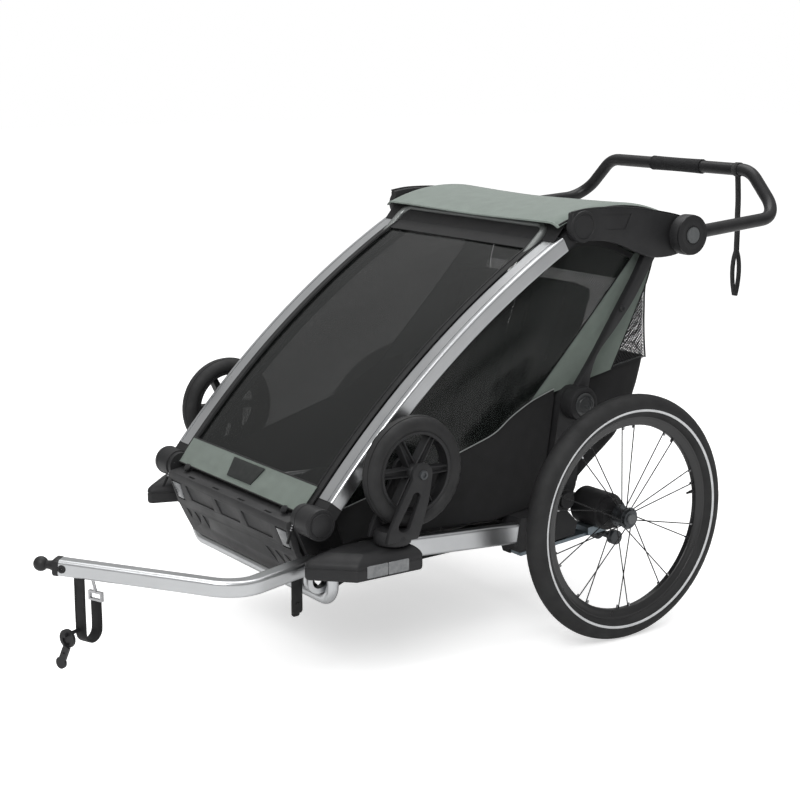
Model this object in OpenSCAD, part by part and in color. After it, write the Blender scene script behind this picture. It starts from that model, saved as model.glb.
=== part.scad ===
// Two-seat child bicycle trailer with a folding frame.
// +X is the trailer's left, +Y its rear, +Z up, and the wheels stand on z = 0.
// Modules place their shapes from the wheel axle: y = 0 is the axle, x = 0 the centre plane.
// at_axle() then moves them so that the origin is under the middle of the whole trailer.

/* [Trailer wheels] */
// Overall width across both tyres
overall_w = 800; // [796:2:804]
// Outer diameter of a trailer tyre
wheel_d = 500; // [496:2:504]
// Width of a trailer tyre
tyre_w = 47; // [44:1:48]
// Pairs of spokes in one trailer wheel
spoke_pairs = 10; // [8:1:12]
// Thickness of a spoke
spoke_d = 2.4; // [2:0.1:3]

/* [Stroller wheels] */
// Outer diameter of a stroller tyre
caster_d = 210; // [200:2:214]
// Width of a stroller tyre
caster_w = 40; // [34:1:40]
// Number of spokes in a stroller wheel
caster_spokes = 6; // [5:1:8]

/* [Cabin] */
// Width between the inner faces of the two front pillars
cabin_w = 500; // [494:1:504]
// Width of a pillar across the trailer
pillar_w = 45; // [40:1:46]
// Thickness of a pillar
pillar_t = 32; // [26:1:34]
// How far a pillar bows outwards from the straight line
pillar_bow = 35; // [30:1:40]
// Thickness of the moulded and fabric walls
skin_t = 4; // [3:0.5:5]

/* [Fold] */
// How far the pillars fold back, in degrees
fold_angle = 19; // [17:0.5:20]

/* [Handlebar] */
// Diameter of the bent handlebar tube
bar_d = 27; // [24:1:30]
// Distance from the axle back to the crossbar
bar_reach = 478; // [460:2:490]
// Height of the crossbar
bar_h = 908; // [890:2:920]
// Bend radius of the handlebar
bar_bend = 60; // [38:2:70]

/* [Hitch] */
// Side of the square hitch arm
arm_s = 30; // [26:1:34]
// Diameter of the hitch ball
ball_d = 27; // [24:1:30]

/* [Fits] */
// Diameter of the frame's hinge pins
pin_d = 12; // [10:1:14]
// Radial clearance of a pin in its hole
fit_gap = 0.05; // [0.02:0.01:0.1]
// Clearance between parts that pass each other
pass_gap = 1; // [0.8:0.1:1.5]

/* [Hidden] */
$fn = 48;

// Places, as [y, z] in the side view
front_hinge = [-668, 326];
top_pivot = [-68, 828];
leg_hinge = [160, 795];
bar_hinge = [192, 798];
leg_joint = [-56, 475];
axle = [0, wheel_d / 2];
caster_axle = [-500, 412];
brake_axis = [42, 183];

// Places, as [x, y, z]
ball_at = [80, -1113, 279];
arm_bend_at = [335, -858, 250];
arm_root_at = [256, -657, 243];
side_tube = [[266, -560, 248], [286, -205, 231]];

// The safety strap: where its front run hangs, its turn about z, its width, and its pin
strap_at = [138, -1069];
strap_turn = 22;
strap_w = 24;
lock_z = 162;
lock_r = 3.5;

grip_r = bar_d / 2 + 2;
front_y = ball_at.y - ball_d / 2;
rear_y = bar_reach + grip_r;
axle_y = -(front_y + rear_y) / 2;

half_w = cabin_w / 2;
wheel_x = (overall_w - tyre_w) / 2;
tyre_r = tyre_w / 2;
rim_r = wheel_d / 2 - tyre_w;
caster_x = 345;
caster_r = caster_d / 2;
pin_r = pin_d / 2;
bore_r = pin_r + fit_gap;
plate_x = half_w + pillar_w - 3;
hub_x = plate_x + 25;
bar_x = plate_x + 33;
leg_x = half_w + 25;
leg_t = 16;
upright_x = half_w - 6;
skirt_x = half_w + 11;
open_r = pin_r + 4;
hair = 0.1;

// The handlebar's path, from the left hinge round to the right one
bar_corner = [bar_x - 14, bar_reach - 6, 817];
bar_path = [
  [bar_x, bar_hinge.x + 30, 801], bar_corner, [221, bar_reach, bar_h],
  [-221, bar_reach, bar_h], [-bar_corner.x, bar_corner.y, bar_corner.z], [-bar_x, bar_hinge.x + 30, 801]
];

// The wrist strap's route, from the crossbar down to its end
strap_route = [
  [185, 478, 893], [185, 480, 870], [185, 482, 840], [185, 482, 810], [186, 482, 780],
  [187, 481, 750], [188, 480, 720], [189, 479, 690], [190, 478, 660], [190, 478, 634]
];

// The pillar is an arc in the side view, drawn from its chord and its bow
chord_a = [-655, 350];
chord_b = [-95, 815];
chord_l = norm(chord_b - chord_a);
pillar_r = (chord_l * chord_l / 4 + pillar_bow * pillar_bow) / (2 * pillar_bow);
chord_n = [-(chord_b - chord_a).y, (chord_b - chord_a).x] / chord_l;
pillar_c = (chord_a + chord_b) / 2 - chord_n * (pillar_r - pillar_bow);
inner_r = pillar_r - pillar_t;
foot_angle = angle_at(front_hinge);
silver_low = foot_angle - 1.35;
silver_high = angle_at(top_pivot) + 1.35;

// The roof is an arc in the side view too
roof_r = 377;
roof_c = [34, 490];

// ---- Functions ----

function unit(v) = v / norm(v);

// Angle of a side-view point about the pillar's centre
function angle_at(p) = atan2(p.y - pillar_c.y, p.x - pillar_c.x);

// A direction square to d: upright where d is near level
function across(d) = unit(abs(d.z) < 0.8 ? [0, 0, 1] - d * d.z : [1, 0, 0] - d * d.x);

// How much a path turns at its point i, and the length that the bend takes from each run
function turn(path, i) = acos(unit(path[i] - path[i - 1]) * unit(path[i + 1] - path[i]));
function trim(path, i, bend) = i == 0 || i == len(path) - 1 ? 0 : bend * tan(turn(path, i) / 2);

// ---- Placing and repeating ----

module at_axle() {
  translate([0, axle_y, 0]) children();
}

module both_sides() {
  children();
  mirror([1, 0, 0]) children();
}

module on_side(side) {
  if (side == "left") children();
  else mirror([1, 0, 0]) children();
}

// Extrudes an outline drawn as [y, z] from x0 to x1
module side_view(x0, x1) {
  translate([x0, 0, 0]) rotate([90, 0, 90]) linear_extrude(x1 - x0) children();
}

// A round bar along X, from x0 to x1, at a side-view place
module cross_bar(p, r, x0, x1) {
  translate([x0, p.x, p.y]) rotate([0, 90, 0]) cylinder(r = r, h = x1 - x0);
}

// Sets the local axes to three unit vectors and the origin to p
module axes(x, y, z, p) {
  multmatrix([[x.x, y.x, z.x, p.x], [x.y, y.y, z.y, p.y], [x.z, y.z, z.z, p.z], [0, 0, 0, 1]])
    children();
}

// Sweeps a 2-D profile along straight runs joined by round bends. A second profile, a hair
// smaller, may be given for the bends: the straight runs then lap over their ends
module swept(path, bend, up) {
  lap = $children > 1 ? 0.6 : 0;
  for (i = [0 : len(path) - 2]) {
    d = unit(path[i + 1] - path[i]);
    n = is_undef(up) ? across(d) : up;
    start = path[i] + d * (trim(path, i, bend) - (i > 0 ? lap : 0));
    end = path[i + 1] - d * (trim(path, i + 1, bend) - (i < len(path) - 2 ? lap : 0));
    axes(cross(n, d), n, d, start) linear_extrude(norm(end - start)) children(0);
  }
  if (len(path) > 2) for (i = [1 : len(path) - 2]) {
    d = unit(path[i] - path[i - 1]);
    n = unit(cross(d, path[i + 1] - path[i]));
    inward = cross(n, d);
    centre = path[i] - d * trim(path, i, bend) + inward * bend;
    axes(-inward, d, n, centre)
      rotate_extrude(angle = turn(path, i)) translate([bend, 0]) children($children - 1);
  }
}

// ---- Outlines ----

// A rectangle with round corners, centred
module rounded(w, h, r) {
  square([w - 2 * r, h], center = true);
  square([w, h - 2 * r], center = true);
  for (x = [-1, 1], y = [-1, 1]) translate([x * (w / 2 - r), y * (h / 2 - r)]) circle(r);
}

// Sweeps a profile, drawn as [radius, x], about the pillar's centre between two angles
module pillar_arc(from, to) {
  translate([0, pillar_c.x, pillar_c.y]) rotate([90, 0, 90]) rotate([0, 0, to])
    rotate_extrude(angle = from - to, $fn = 200) children();
}

// The part of a side-view outline that lies under the pillar
module under_pillar() {
  difference() {
    intersection() {
      children();
      translate(pillar_c) circle(inner_r - 2, $fn = 200);
    }
    translate(front_hinge) circle(31);
  }
}

// The part of a side-view outline that also lies under the folded pillar
module under_folded_pillar() {
  intersection() {
    children();
    translate(front_hinge) rotate(-fold_angle) translate(pillar_c - front_hinge)
      circle(inner_r - 4, $fn = 200);
  }
}

// ---- Chassis ----

module base_frame() color("silver") at_axle() {
  both_sides() swept(side_tube, 1) rounded(24, 40, 6);
  corner_y = -622;
  swept([
    [262, -559, 247], [262, corner_y, 247], [262, corner_y, 164],
    [-262, corner_y, 164], [-262, corner_y, 247], [-262, -559, 247]
  ], 30) circle(12);
}

module axle_beam() color("dimgray") at_axle() {
  cross_bar(axle, 16, -251, 251);
  both_sides() {
    cross_bar(axle, pin_r, 250, 390);
    cross_bar(axle, 30, 244, 251);
  }
}

module axle_drums() color("black") at_axle() both_sides() difference() {
  union() {
    cross_bar(axle, 38, 252, 326);
    cross_bar(axle, 30, 326, 344);
  }
  cross_bar(axle, pin_r, 250, 346);
}

module leaf_springs() color("slategray") at_axle() both_sides() {
  side_view(268, 300) polygon([[-205, 186], [44, 205], [44, 211], [-205, 193]]);
  difference() {
    side_view(262, 306) polygon([[-36, 200.5], [34, 206], [34, 222], [-36, 217]]);
    cross_bar(axle, 38.4, 260, 308);
  }
}

module rear_uprights() color("#202020") at_axle() both_sides() {
  // The clamp round the end of the side tube, and the leg down to the spring
  difference() {
    side_view(upright_x, 300) polygon([[-214, 206], [-206, 262], [-96, 270], [-60, 232], [-70, 196],
      [-206, 184]]);
    swept(side_tube, 1) rounded(24, 40, 6);
    side_view(267, 301) polygon([[-210, 183], [0, 198], [0, 214], [-210, 194]]);
  }
  // The upright that carries the rear leg's joint
  difference() {
    side_view(upright_x, leg_x - pass_gap) {
      polygon([[-140, 265], [-60, 262], [-44, 300], [-24, 470], [-88, 480], [-112, 330]]);
      translate(leg_joint) circle(33);
    }
    cross_bar(axle, 39, upright_x - 1, leg_x);
  }
  cross_bar(leg_joint, pin_r, leg_x - pass_gap, 303);
  cross_bar([-92, 283], 22, leg_x - pass_gap, 300);
  cross_bar([-92, 283], 17, 300, 307);
}

module front_panel() color("#3a3a3a") at_axle() {
  difference() {
    side_view(-232, 232) polygon([
      [-700, 312], [-700, 322], [-652, 328], [-652, 318], [-684, 308], [-672, 262], [-640, 196],
      [-625, 180], [-632, 174], [-648, 188], [-680, 256]
    ]);
    for (x = [-150 : 100 : 150]) translate([x - 12, -694, 300]) cube([24, 5, 40]);
  }
}

module floor_pan() color("#1c1c1c") at_axle() {
  side_view(-243, 243) polygon([
    [-606, 186], [-600, 182], [-560, 198], [-180, 206], [-60, 214], [-60, 218], [-182, 210],
    [-560, 202], [-598, 188]
  ]);
}

module skirt_outline() {
  polygon([
    [-604, 268], [-640, 320], [-626, 331], [-546, 349], [-382, 391], [-297, 416], [-246, 433],
    [-175, 481], [-98, 505], [-98, 480], [-121, 330], [-152, 269], [-222, 264], [-240, 258], [-440, 268],
    [-560, 274]
  ]);
}

module side_skirts() color("#181818") at_axle() both_sides()
  side_view(skirt_x, skirt_x + skin_t) under_pillar() under_folded_pillar() skirt_outline();

module side_windows() color([0.15, 0.16, 0.16, 0.6]) at_axle() both_sides()
  side_view(skirt_x, skirt_x + skin_t) under_pillar() polygon([
    [-624, 334], [-546, 352], [-382, 394], [-297, 419], [-246, 436], [-175, 484],
    [60, 768], [10, 790], [-40, 803], [-120, 840]
  ]);

module rear_quarters() color("#747E76") at_axle() both_sides()
  side_view(skirt_x - 6, skirt_x - 6 + skin_t) polygon([
    [-172, 487], [-94, 508], [-20, 524], [148, 541], [142, 697], [168, 770], [62, 768]
  ]);

module wing_pods() color("#1e1e1e") at_axle() both_sides() difference() {
  hull() {
    for (p = [[312, -700], [372, -640], [372, -508], [292, -508], [292, -640]])
      translate([p.x, p.y, 234]) cylinder(r = 10, h = 32, $fn = 32);
    for (p = [[318, -668], [364, -620], [364, -520], [300, -520], [300, -620]])
      translate([p.x, p.y, 270]) cylinder(r = 9, h = 12, $fn = 32);
    translate([330, -580, 226]) cylinder(r = 30, h = 10, $fn = 32);
  }
  // Socket for the stem of a stroller fork, and the hole for its release button
  translate([caster_x, -544, 240]) cylinder(r = 11 + fit_gap, h = 60);
  translate([330, -496, 254]) rotate([90, 0, 0]) cylinder(r = 8 + fit_gap, h = 17);
  translate([381, -625, 238]) cube([4, 92, 26]);
}

module reflectors() color("lightgray") at_axle() both_sides() {
  translate([381, -624.5, 239]) cube([2.2, 91, 24]);
  side_view(190, 226) polygon([[-682.5, 256.5], [-703, 309], [-706, 309], [-686, 256.5]]);
}

module front_brackets() color("#202020") at_axle() both_sides() difference() {
  union() {
    side_view(236, half_w - pass_gap) {
      translate(front_hinge) circle(27);
      polygon([[-692, 316], [-656, 236], [-606, 236], [-642, 336]]);
    }
    side_view(236, 281.7) polygon([[-656, 236], [-640, 262], [-612, 262], [-606, 236]]);
    cross_bar(front_hinge, pin_r, 240, 294);
  }
  swept([[262, -559, 247], [262, -622, 247], [262, -622, 165], [100, -622, 165]], 30) circle(12.2);
}

module seat_cushion() color("#151515") at_axle() {
  side_view(-228, 228) polygon([
    [-420, 240], [-426, 262], [-412, 284], [-380, 292], [-130, 268], [-110, 254], [-112, 226], [-400, 226]
  ]);
}

module seat_back() color("#151515") at_axle() {
  side_view(-228, 228) polygon([
    [-118, 272], [-84, 262], [-60, 320], [52, 690], [48, 716], [18, 712], [-100, 330]
  ]);
}

module harness() color("#262626") at_axle() for (x = [-168, -64, 64, 168]) {
  side_view(x - 18, x + 18) polygon([[-103, 332], [-109, 334], [6, 704], [12, 702]]);
}

module back_panel() color("#303030") at_axle() {
  side_view(-254, 254) polygon([[150, 548], [154, 548], [148, 697], [176, 790], [172, 792], [144, 698]]);
}

module rear_bag() color("#121212") at_axle() difference() {
  side_view(-254, 254) polygon([[154, 545], [134, 476], [97, 406], [60, 370], [1, 325], [-30, 300],
    [-36, 304], [-16, 470], [-12, 526]]);
  side_view(-249, 249) polygon([[149, 560], [129, 478], [93, 410], [56, 374], [-2, 330], [-32, 304],
    [-60, 304], [-60, 560]]);
}

// ---- Hitch ----

module hitch_receiver() color("silver") at_axle() difference() {
  side_view(233, half_w - pass_gap) translate([-641, 205]) rounded(50, 52, 24);
  side_view(232, half_w) translate([-641, 205]) rounded(30, 32, 14);
}

module hitch_arm() color("silver") at_axle() {
  tip = ball_at + unit(arm_bend_at - ball_at) * 29;
  n = unit(cross(arm_bend_at - ball_at, arm_root_at - arm_bend_at));
  swept([tip, arm_bend_at, arm_root_at], 75, n) {
    rounded(arm_s, arm_s, 7);
    rounded(arm_s - hair, arm_s - hair, 7);
  }
}

module hitch_ball() color("#181818") at_axle() {
  d = unit(arm_bend_at - ball_at);
  translate(ball_at) sphere(d = ball_d);
  swept([ball_at, ball_at + d * 29], 1) circle(9.5);
  bolt = ball_at + d * 42;
  n = unit([d.y, -d.x, 0]);
  swept([bolt - n * 17, bolt - n * 15], 1) circle(6);
}

// The strap's own axes: x across the band, y from its front run to its rear run
module at_strap() {
  at_axle() translate([strap_at.x, strap_at.y, 0]) rotate([0, 0, strap_turn]) children();
}

// A flat band that hangs from the arm, turns, and comes back up to the ring
module safety_strap() color("#141414") at_strap() difference() {
  side_view(-strap_w / 2, strap_w / 2) difference() {
    union() {
      translate([0, 158]) square([44, 101]);
      translate([22, 158]) circle(22);
    }
    translate([4, 158]) square([36, 102]);
    translate([22, 158]) circle(18);
    translate([22, 206]) square([30, 80]);
  }
  translate([-6, 5, lock_z]) rotate([90, 0, 0]) cylinder(r = lock_r + fit_gap, h = 6);
}

module snap_ring() color("#8a8a8a") at_strap() {
  difference() {
    side_view(-16, 16) polygon([[39, 206.3], [45, 206.3], [45, 224], [39, 224]]);
    side_view(-12, 12) polygon([[38, 210], [46, 210], [46, 220], [38, 220]]);
  }
  swept([[0, 42, 222], [9, 24, 257.5]], 1) circle(3);
}

// A pin with a round head and a pull tab, pushed through the strap's front run
module lock_pin() color("#707070") at_strap() translate([-6, 0, lock_z]) rotate([90, 0, 0]) {
  translate([0, 0, -4.4]) cylinder(r = lock_r, h = 40);
  translate([0, 0, 24]) difference() {
    translate([0, -7, 0]) cylinder(r = 17, h = 5);
    translate([0, -9, 2]) cylinder(r = 10, h = 4);
  }
  translate([0, -24, 28]) rotate([0, 0, -25]) difference() {
    union() {
      translate([-7, -32, 0]) cube([14, 36, 5]);
      translate([0, -32, 0]) cylinder(r = 11, h = 5);
    }
    translate([0, -10, -1]) cylinder(r = 2.5, h = 7);
  }
}

module hitch_latch() color("#2a2a2a") at_axle() {
  translate([234, -694, 146]) {
    cube([5, 22, 80]);
    translate([-6, 3, -8]) cube([5.5, 16, 42]);
  }
}

// ---- Parking brake ----

module brake_rod() color("#303030") at_axle() {
  both_sides() {
    cross_bar(brake_axis, 7, 30, 292);
    cross_bar(brake_axis, 15, 292, 306);
    cross_bar(brake_axis, 16, 240, 252);
  }
  cross_bar(brake_axis, 7, -31, 31);
}

module brake_pedal() color("#2a2a2a") at_axle() {
  difference() {
    cross_bar(brake_axis, 13, -29, 29);
    cross_bar(brake_axis, 7 + fit_gap, -30, 30);
  }
  side_view(-29, 29) polygon([[51.5, 176], [51.5, 190], [118, 212], [120, 202]]);
}

// ---- Front frame: pillars and cover ----

module front_pillars() color("silver") at_axle() both_sides()
  pillar_arc(silver_low, silver_high) difference() {
    translate([inner_r + pillar_t / 2, half_w + pillar_w / 2]) rounded(pillar_t, pillar_w, 5);
    translate([pillar_r - 2, half_w + pillar_w - 13]) square([3, 2]);
  }

module pillar_knuckles() color("#1c1c1c") at_axle() both_sides() {
  difference() {
    union() {
      pillar_arc(foot_angle - 0.3, silver_low)
        translate([inner_r + 1.5, half_w + 1.5]) square([pillar_t - 3, pillar_w - 3]);
      cross_bar(front_hinge, 29, half_w, 299.5);
      cross_bar(front_hinge, 21, 299, 303);
    }
    cross_bar(front_hinge, bore_r, half_w - 1, 295);
  }
  pillar_arc(silver_high, angle_at(top_pivot) + 0.3)
    translate([inner_r + 1.5, half_w + 1.5]) square([pillar_t - 3, pillar_w - 8]);
  cross_bar(top_pivot, 20, half_w, plate_x - pass_gap);
}

module front_hoop() color("#8f9391") at_axle() {
  cross_bar([-97, 826], 9, -247, 247);
  both_sides() side_view(half_w - 9, half_w - 3)
    polygon([[-88, 829], [-106, 823], [-196, 745], [-187, 734]]);
}

module front_cover() color([0.1, 0.1, 0.1, 0.6]) at_axle()
  pillar_arc(foot_angle - 0.6, silver_high + 0.4)
    translate([pillar_r - 2, 0]) square([skin_t, 2 * (half_w - 14)], center = true);

module cover_band() color("#747E76") at_axle()
  pillar_arc(foot_angle - 0.15, foot_angle - 1.85)
    translate([pillar_r + 6, 0]) square([skin_t, 2 * (half_w - 16)], center = true);

// ---- Top frame: side plates, roof and handlebar hinges ----

module top_plates() color("#1a1a1a") at_axle() both_sides() {
  difference() {
    side_view(plate_x, plate_x + 16) {
      polygon([
        [-90, 856], [-60, 860], [23, 860], [130, 847], [205, 831], [228, 800], [200, 762], [140, 752],
        [100, 758], [12, 792], [-63, 803]
      ]);
      translate(top_pivot) circle(32);
    }
    side_view(plate_x + 15, plate_x + 17) polygon([[-22, 849], [56, 846], [40, 816], [-8, 818]]);
  }
  difference() {
    cross_bar(top_pivot, 31, plate_x + 16, plate_x + 18);
    cross_bar(top_pivot, 24, plate_x + 15, plate_x + 19);
  }
  cross_bar(leg_hinge, pin_r, leg_x - 4, plate_x);
  cross_bar(leg_hinge, 13, leg_x - 8, leg_x - 4);
}

// A strip of the roof's arc between two angles; 90 is the highest point
module roof_arc(from, to) {
  translate([0, roof_c.x, roof_c.y]) rotate([90, 0, 90]) rotate([0, 0, from])
    rotate_extrude(angle = to - from, $fn = 200)
      translate([roof_r - skin_t / 2, 0]) square([skin_t, 2 * plate_x - 4], center = true);
}

module roof() color("#869089") at_axle() roof_arc(63, 104);

module roof_lip() color("#869089") at_axle() roof_arc(105.4, 113);

module handle_hinges() color("#242424") at_axle() both_sides() difference() {
  union() {
    cross_bar(bar_hinge, 28, plate_x + 16, plate_x + 23);
    cross_bar(bar_hinge, 20, plate_x + 23, plate_x + 36);
  }
  cross_bar(bar_hinge, 9 + fit_gap, plate_x + 22, plate_x + 37);
}

// ---- Rear frame ----

module rear_legs() color("#1c1c1c") at_axle() both_sides() {
  difference() {
    side_view(leg_x, leg_x + leg_t) {
      polygon([
        [-66, 500], [94, 727], [128, 790], [184, 790], [148, 764], [117, 717], [85, 670], [-10, 571],
        [-30, 500]
      ]);
      translate(leg_hinge) circle(24);
      translate(leg_joint) circle(33);
    }
    cross_bar(leg_hinge, open_r, leg_x - 1, leg_x + leg_t + 1);
    cross_bar(leg_joint, bore_r, leg_x - 1, leg_x + leg_t + 1);
  }
  difference() {
    cross_bar(leg_joint, 35, leg_x + leg_t, 309);
    cross_bar(leg_joint, bore_r, leg_x + leg_t - 1, 304);
  }
  cross_bar(leg_joint, 24, 309, 311);
  cross_bar([52, 655], 7, leg_x + leg_t, leg_x + leg_t + 4);
}

// ---- Handlebar ----

module handlebar_tube() color("#1b1b1b") at_axle() {
  difference() {
    union() {
      swept(bar_path, bar_bend) {
        circle(d = bar_d);
        circle(d = bar_d - hair);
      }
      both_sides() cross_bar(bar_hinge, 40, plate_x + 24, plate_x + 50);
    }
    both_sides() {
      cross_bar(bar_hinge, 20.5, plate_x + 23, plate_x + 37);
      cross_bar(bar_hinge, 16 + fit_gap, plate_x + 36, plate_x + 51);
    }
  }
}

module handlebar_grip() color("#101010") at_axle() difference() {
  cross_bar([bar_reach, bar_h], grip_r, -78, 78);
  cross_bar([bar_reach, bar_h], bar_d / 2, -79, 79);
}

function ring_at(p, w, t) = [for (k = [0 : 7]) p + [w * cos(45 * k), t * sin(45 * k), 0]];

module wrist_strap() color("#151515") at_axle() {
  last = len(strap_route) - 1;
  polyhedron(
    points = [for (p = strap_route) each ring_at(p, 7, 2.5)],
    faces = concat(
      [[for (k = [0 : 7]) k]],
      [for (i = [0 : last - 1], k = [0 : 7])
        [8 * i + k, 8 * i + 8 + k, 8 * i + 8 + (k + 1) % 8, 8 * i + (k + 1) % 8]],
      [[for (k = [7 : -1 : 0]) 8 * last + k]]
    )
  );
}

module handle_button(side) color("#5a5c5c") at_axle() on_side(side) {
  cross_bar(bar_hinge, 16, plate_x + 40, plate_x + 53);
  cross_bar(bar_hinge, 9, plate_x + 30, plate_x + 40);
}

// ---- Trailer wheels ----

module at_wheel(side) {
  at_axle() on_side(side) translate([wheel_x, axle.x, axle.y]) rotate([0, 90, 0]) children();
}

module tyre(side) color("#1d1d1d") at_wheel(side)
  rotate_extrude($fn = 160) translate([wheel_d / 2 - tyre_r, 0]) difference() {
    circle(tyre_r);
    translate([-tyre_r, 0]) square([2 * (tyre_r - 12), 22], center = true);
  }

module rim(side) color("#141414") at_wheel(side) rotate_extrude($fn = 160) polygon([
  [rim_r - 15, -7], [rim_r - 13, -9], [rim_r, -10.8], [rim_r + 10, -10.8], [rim_r + 10, 10.8],
  [rim_r, 10.8], [rim_r - 13, 9], [rim_r - 15, 7]
]);

module spokes(side) color("#3a3a3a") at_wheel(side) {
  rim_hole = rim_r - 15.2;
  for (i = [0 : spoke_pairs - 1], s = [-1, 1]) {
    around = 360 * i / spoke_pairs;
    splay = 4.4;
    lean = 11;
    root = around + s * (splay + lean);
    hub_end = [22.3 * cos(root), 22.3 * sin(root), s * 13.5 - 5];
    rim_end = [rim_hole * cos(around - s * splay), rim_hole * sin(around - s * splay), s * 2];
    swept([hub_end, rim_end], 1) circle(d = spoke_d, $fn = 16);
  }
}

module hub(side) color("#4a4a4a") at_wheel(side) difference() {
  union() {
    translate([0, 0, -28]) cylinder(r = 14, h = 44);
    for (z = [-20, 7]) translate([0, 0, z]) cylinder(r = 22, h = 3);
    translate([0, 0, 10]) cylinder(r = 17, h = 5.5);
  }
  translate([0, 0, -30]) cylinder(r = bore_r, h = 50);
  translate([0, 0, 11]) cylinder(r = 10 + fit_gap, h = 10);
  for (z = [-21, 6], i = [0 : 9]) rotate([0, 0, 36 * i]) translate([19, 0, z]) cylinder(r = 1.6, h = 5);
}

module hub_button(side) color("#6c6f70") at_wheel(side) difference() {
  translate([0, 0, 14.6]) cylinder(r = 10, h = 5);
  translate([0, 0, 12]) cylinder(r = pin_r + 0.4, h = 5.6);
}

// ---- Stroller wheels, stored on the side pods ----

module at_caster(side) {
  at_axle() on_side(side) translate([caster_x, caster_axle.x, caster_axle.y]) rotate([0, 90, 0]) children();
}

module fork(side) color("#2c2c2c") at_axle() on_side(side) {
  leg_in = caster_w / 2 + 4;
  difference() {
    union() {
      translate([caster_x, -544, 242]) cylinder(r = 11, h = 45);
      translate([caster_x, -544, 284]) cylinder(r = 34, h = 15);
      for (s = [-1, 1]) translate([caster_x + s * (leg_in + 5), 0, 0])
        side_view(-5, 5) difference() {
          union() {
            polygon([[-578, 292], [-524, 418], [-478, 404], [-510, 292]]);
            translate(caster_axle) circle(24);
          }
          polygon([[-548, 322], [-520, 384], [-504, 384], [-526, 322]]);
        }
    }
  }
  cross_bar(caster_axle, 5, caster_x - leg_in - 1, caster_x + leg_in + 1);
}

module caster_tyre(side) color("#202020") at_caster(side)
  rotate_extrude($fn = 120) translate([caster_r - 20, 0]) difference() {
    union() {
      translate([8, 0]) circle(12);
      square([20, caster_w - 6], center = true);
      for (z = [-1, 1]) translate([5, z * (caster_w / 2 - 8)]) circle(8);
    }
    translate([-15, 0]) square([20, caster_w], center = true);
  }

module caster_wheel(side) color("#181818") at_caster(side) difference() {
  union() {
    rotate_extrude($fn = 120) translate([caster_r - 29.5, 0]) square([8, caster_w - 8], center = true);
    cylinder(r = 17, h = caster_w, center = true);
    for (i = [0 : caster_spokes - 1]) rotate([0, 0, 360 * i / caster_spokes + 28])
      translate([43, 0, 0]) cube([62, 10, caster_w - 16], center = true);
  }
  cylinder(r = 5 + fit_gap, h = caster_w + 2, center = true);
}

module pod_button(side) color("#303030") at_axle() on_side(side)
  translate([330, -490, 254]) rotate([90, 0, 0]) cylinder(r = 8, h = 18);

// ---- What is drawn ----

base_frame();
axle_beam();
axle_drums();
leaf_springs();
rear_uprights();
front_panel();
floor_pan();
side_skirts();
side_windows();
rear_quarters();
wing_pods();
reflectors();
front_brackets();
seat_cushion();
seat_back();
harness();
back_panel();
rear_bag();
hitch_receiver();
hitch_arm();
hitch_ball();
safety_strap();
snap_ring();
hitch_latch();
brake_rod();
brake_pedal();
lock_pin();
front_pillars();
pillar_knuckles();
front_hoop();
front_cover();
cover_band();
top_plates();
roof();
roof_lip();
handle_hinges();
rear_legs();
handlebar_tube();
handlebar_grip();
wrist_strap();
handle_button("left");  // handle_button_left
handle_button("right");  // handle_button_right
tyre("left");  // tyre_left
rim("left");  // rim_left
spokes("left");  // spokes_left
hub("left");  // hub_left
hub_button("left");  // hub_button_left
tyre("right");  // tyre_right
rim("right");  // rim_right
spokes("right");  // spokes_right
hub("right");  // hub_right
hub_button("right");  // hub_button_right
fork("left");  // fork_left
caster_tyre("left");  // caster_tyre_left
caster_wheel("left");  // caster_wheel_left
pod_button("left");  // pod_button_left
fork("right");  // fork_right
caster_tyre("right");  // caster_tyre_right
caster_wheel("right");  // caster_wheel_right
pod_button("right");  // pod_button_right
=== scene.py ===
# %% [markdown]
# A two-seat child bicycle trailer: the looks around a imported frame.
# The frame already holds every part at its real place and size, and it moves by its own joints.
# This script makes the visible pieces on it: fabric, clear windows, moulded shells, tubes and tyres.
# Each piece is modelled at its real place; most then ride on the frame body that carries them.

# %% Load the frame
import math
import random
import bpy
from mathutils import Matrix, Vector


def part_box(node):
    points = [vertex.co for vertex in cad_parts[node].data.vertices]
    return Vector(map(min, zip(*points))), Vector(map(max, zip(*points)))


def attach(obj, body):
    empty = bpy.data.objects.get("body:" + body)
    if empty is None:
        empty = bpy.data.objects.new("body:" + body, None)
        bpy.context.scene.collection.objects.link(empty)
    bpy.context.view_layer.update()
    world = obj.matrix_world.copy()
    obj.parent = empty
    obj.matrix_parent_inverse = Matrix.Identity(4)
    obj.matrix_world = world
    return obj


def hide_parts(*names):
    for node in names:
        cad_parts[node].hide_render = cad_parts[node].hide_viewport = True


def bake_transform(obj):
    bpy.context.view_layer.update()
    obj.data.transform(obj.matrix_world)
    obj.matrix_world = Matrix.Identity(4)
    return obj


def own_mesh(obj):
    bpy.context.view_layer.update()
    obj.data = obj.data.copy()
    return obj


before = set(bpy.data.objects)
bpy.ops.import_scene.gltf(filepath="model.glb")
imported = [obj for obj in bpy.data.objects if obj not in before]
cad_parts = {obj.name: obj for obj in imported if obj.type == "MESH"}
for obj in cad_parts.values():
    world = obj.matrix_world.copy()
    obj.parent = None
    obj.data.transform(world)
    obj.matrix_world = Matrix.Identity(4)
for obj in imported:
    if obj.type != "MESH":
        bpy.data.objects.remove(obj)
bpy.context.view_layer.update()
AXLE_Y = (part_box("tyre_left")[0].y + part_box("tyre_left")[1].y) / 2
print("frame:", len(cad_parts), "nodes, axle at y", round(AXLE_Y, 4))

# %% [markdown]
# The camera stands where a product photographer would stand: low, at the trailer's front left
# quarter, a few metres away with a short telephoto lens, so that upright lines stay upright.

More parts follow.
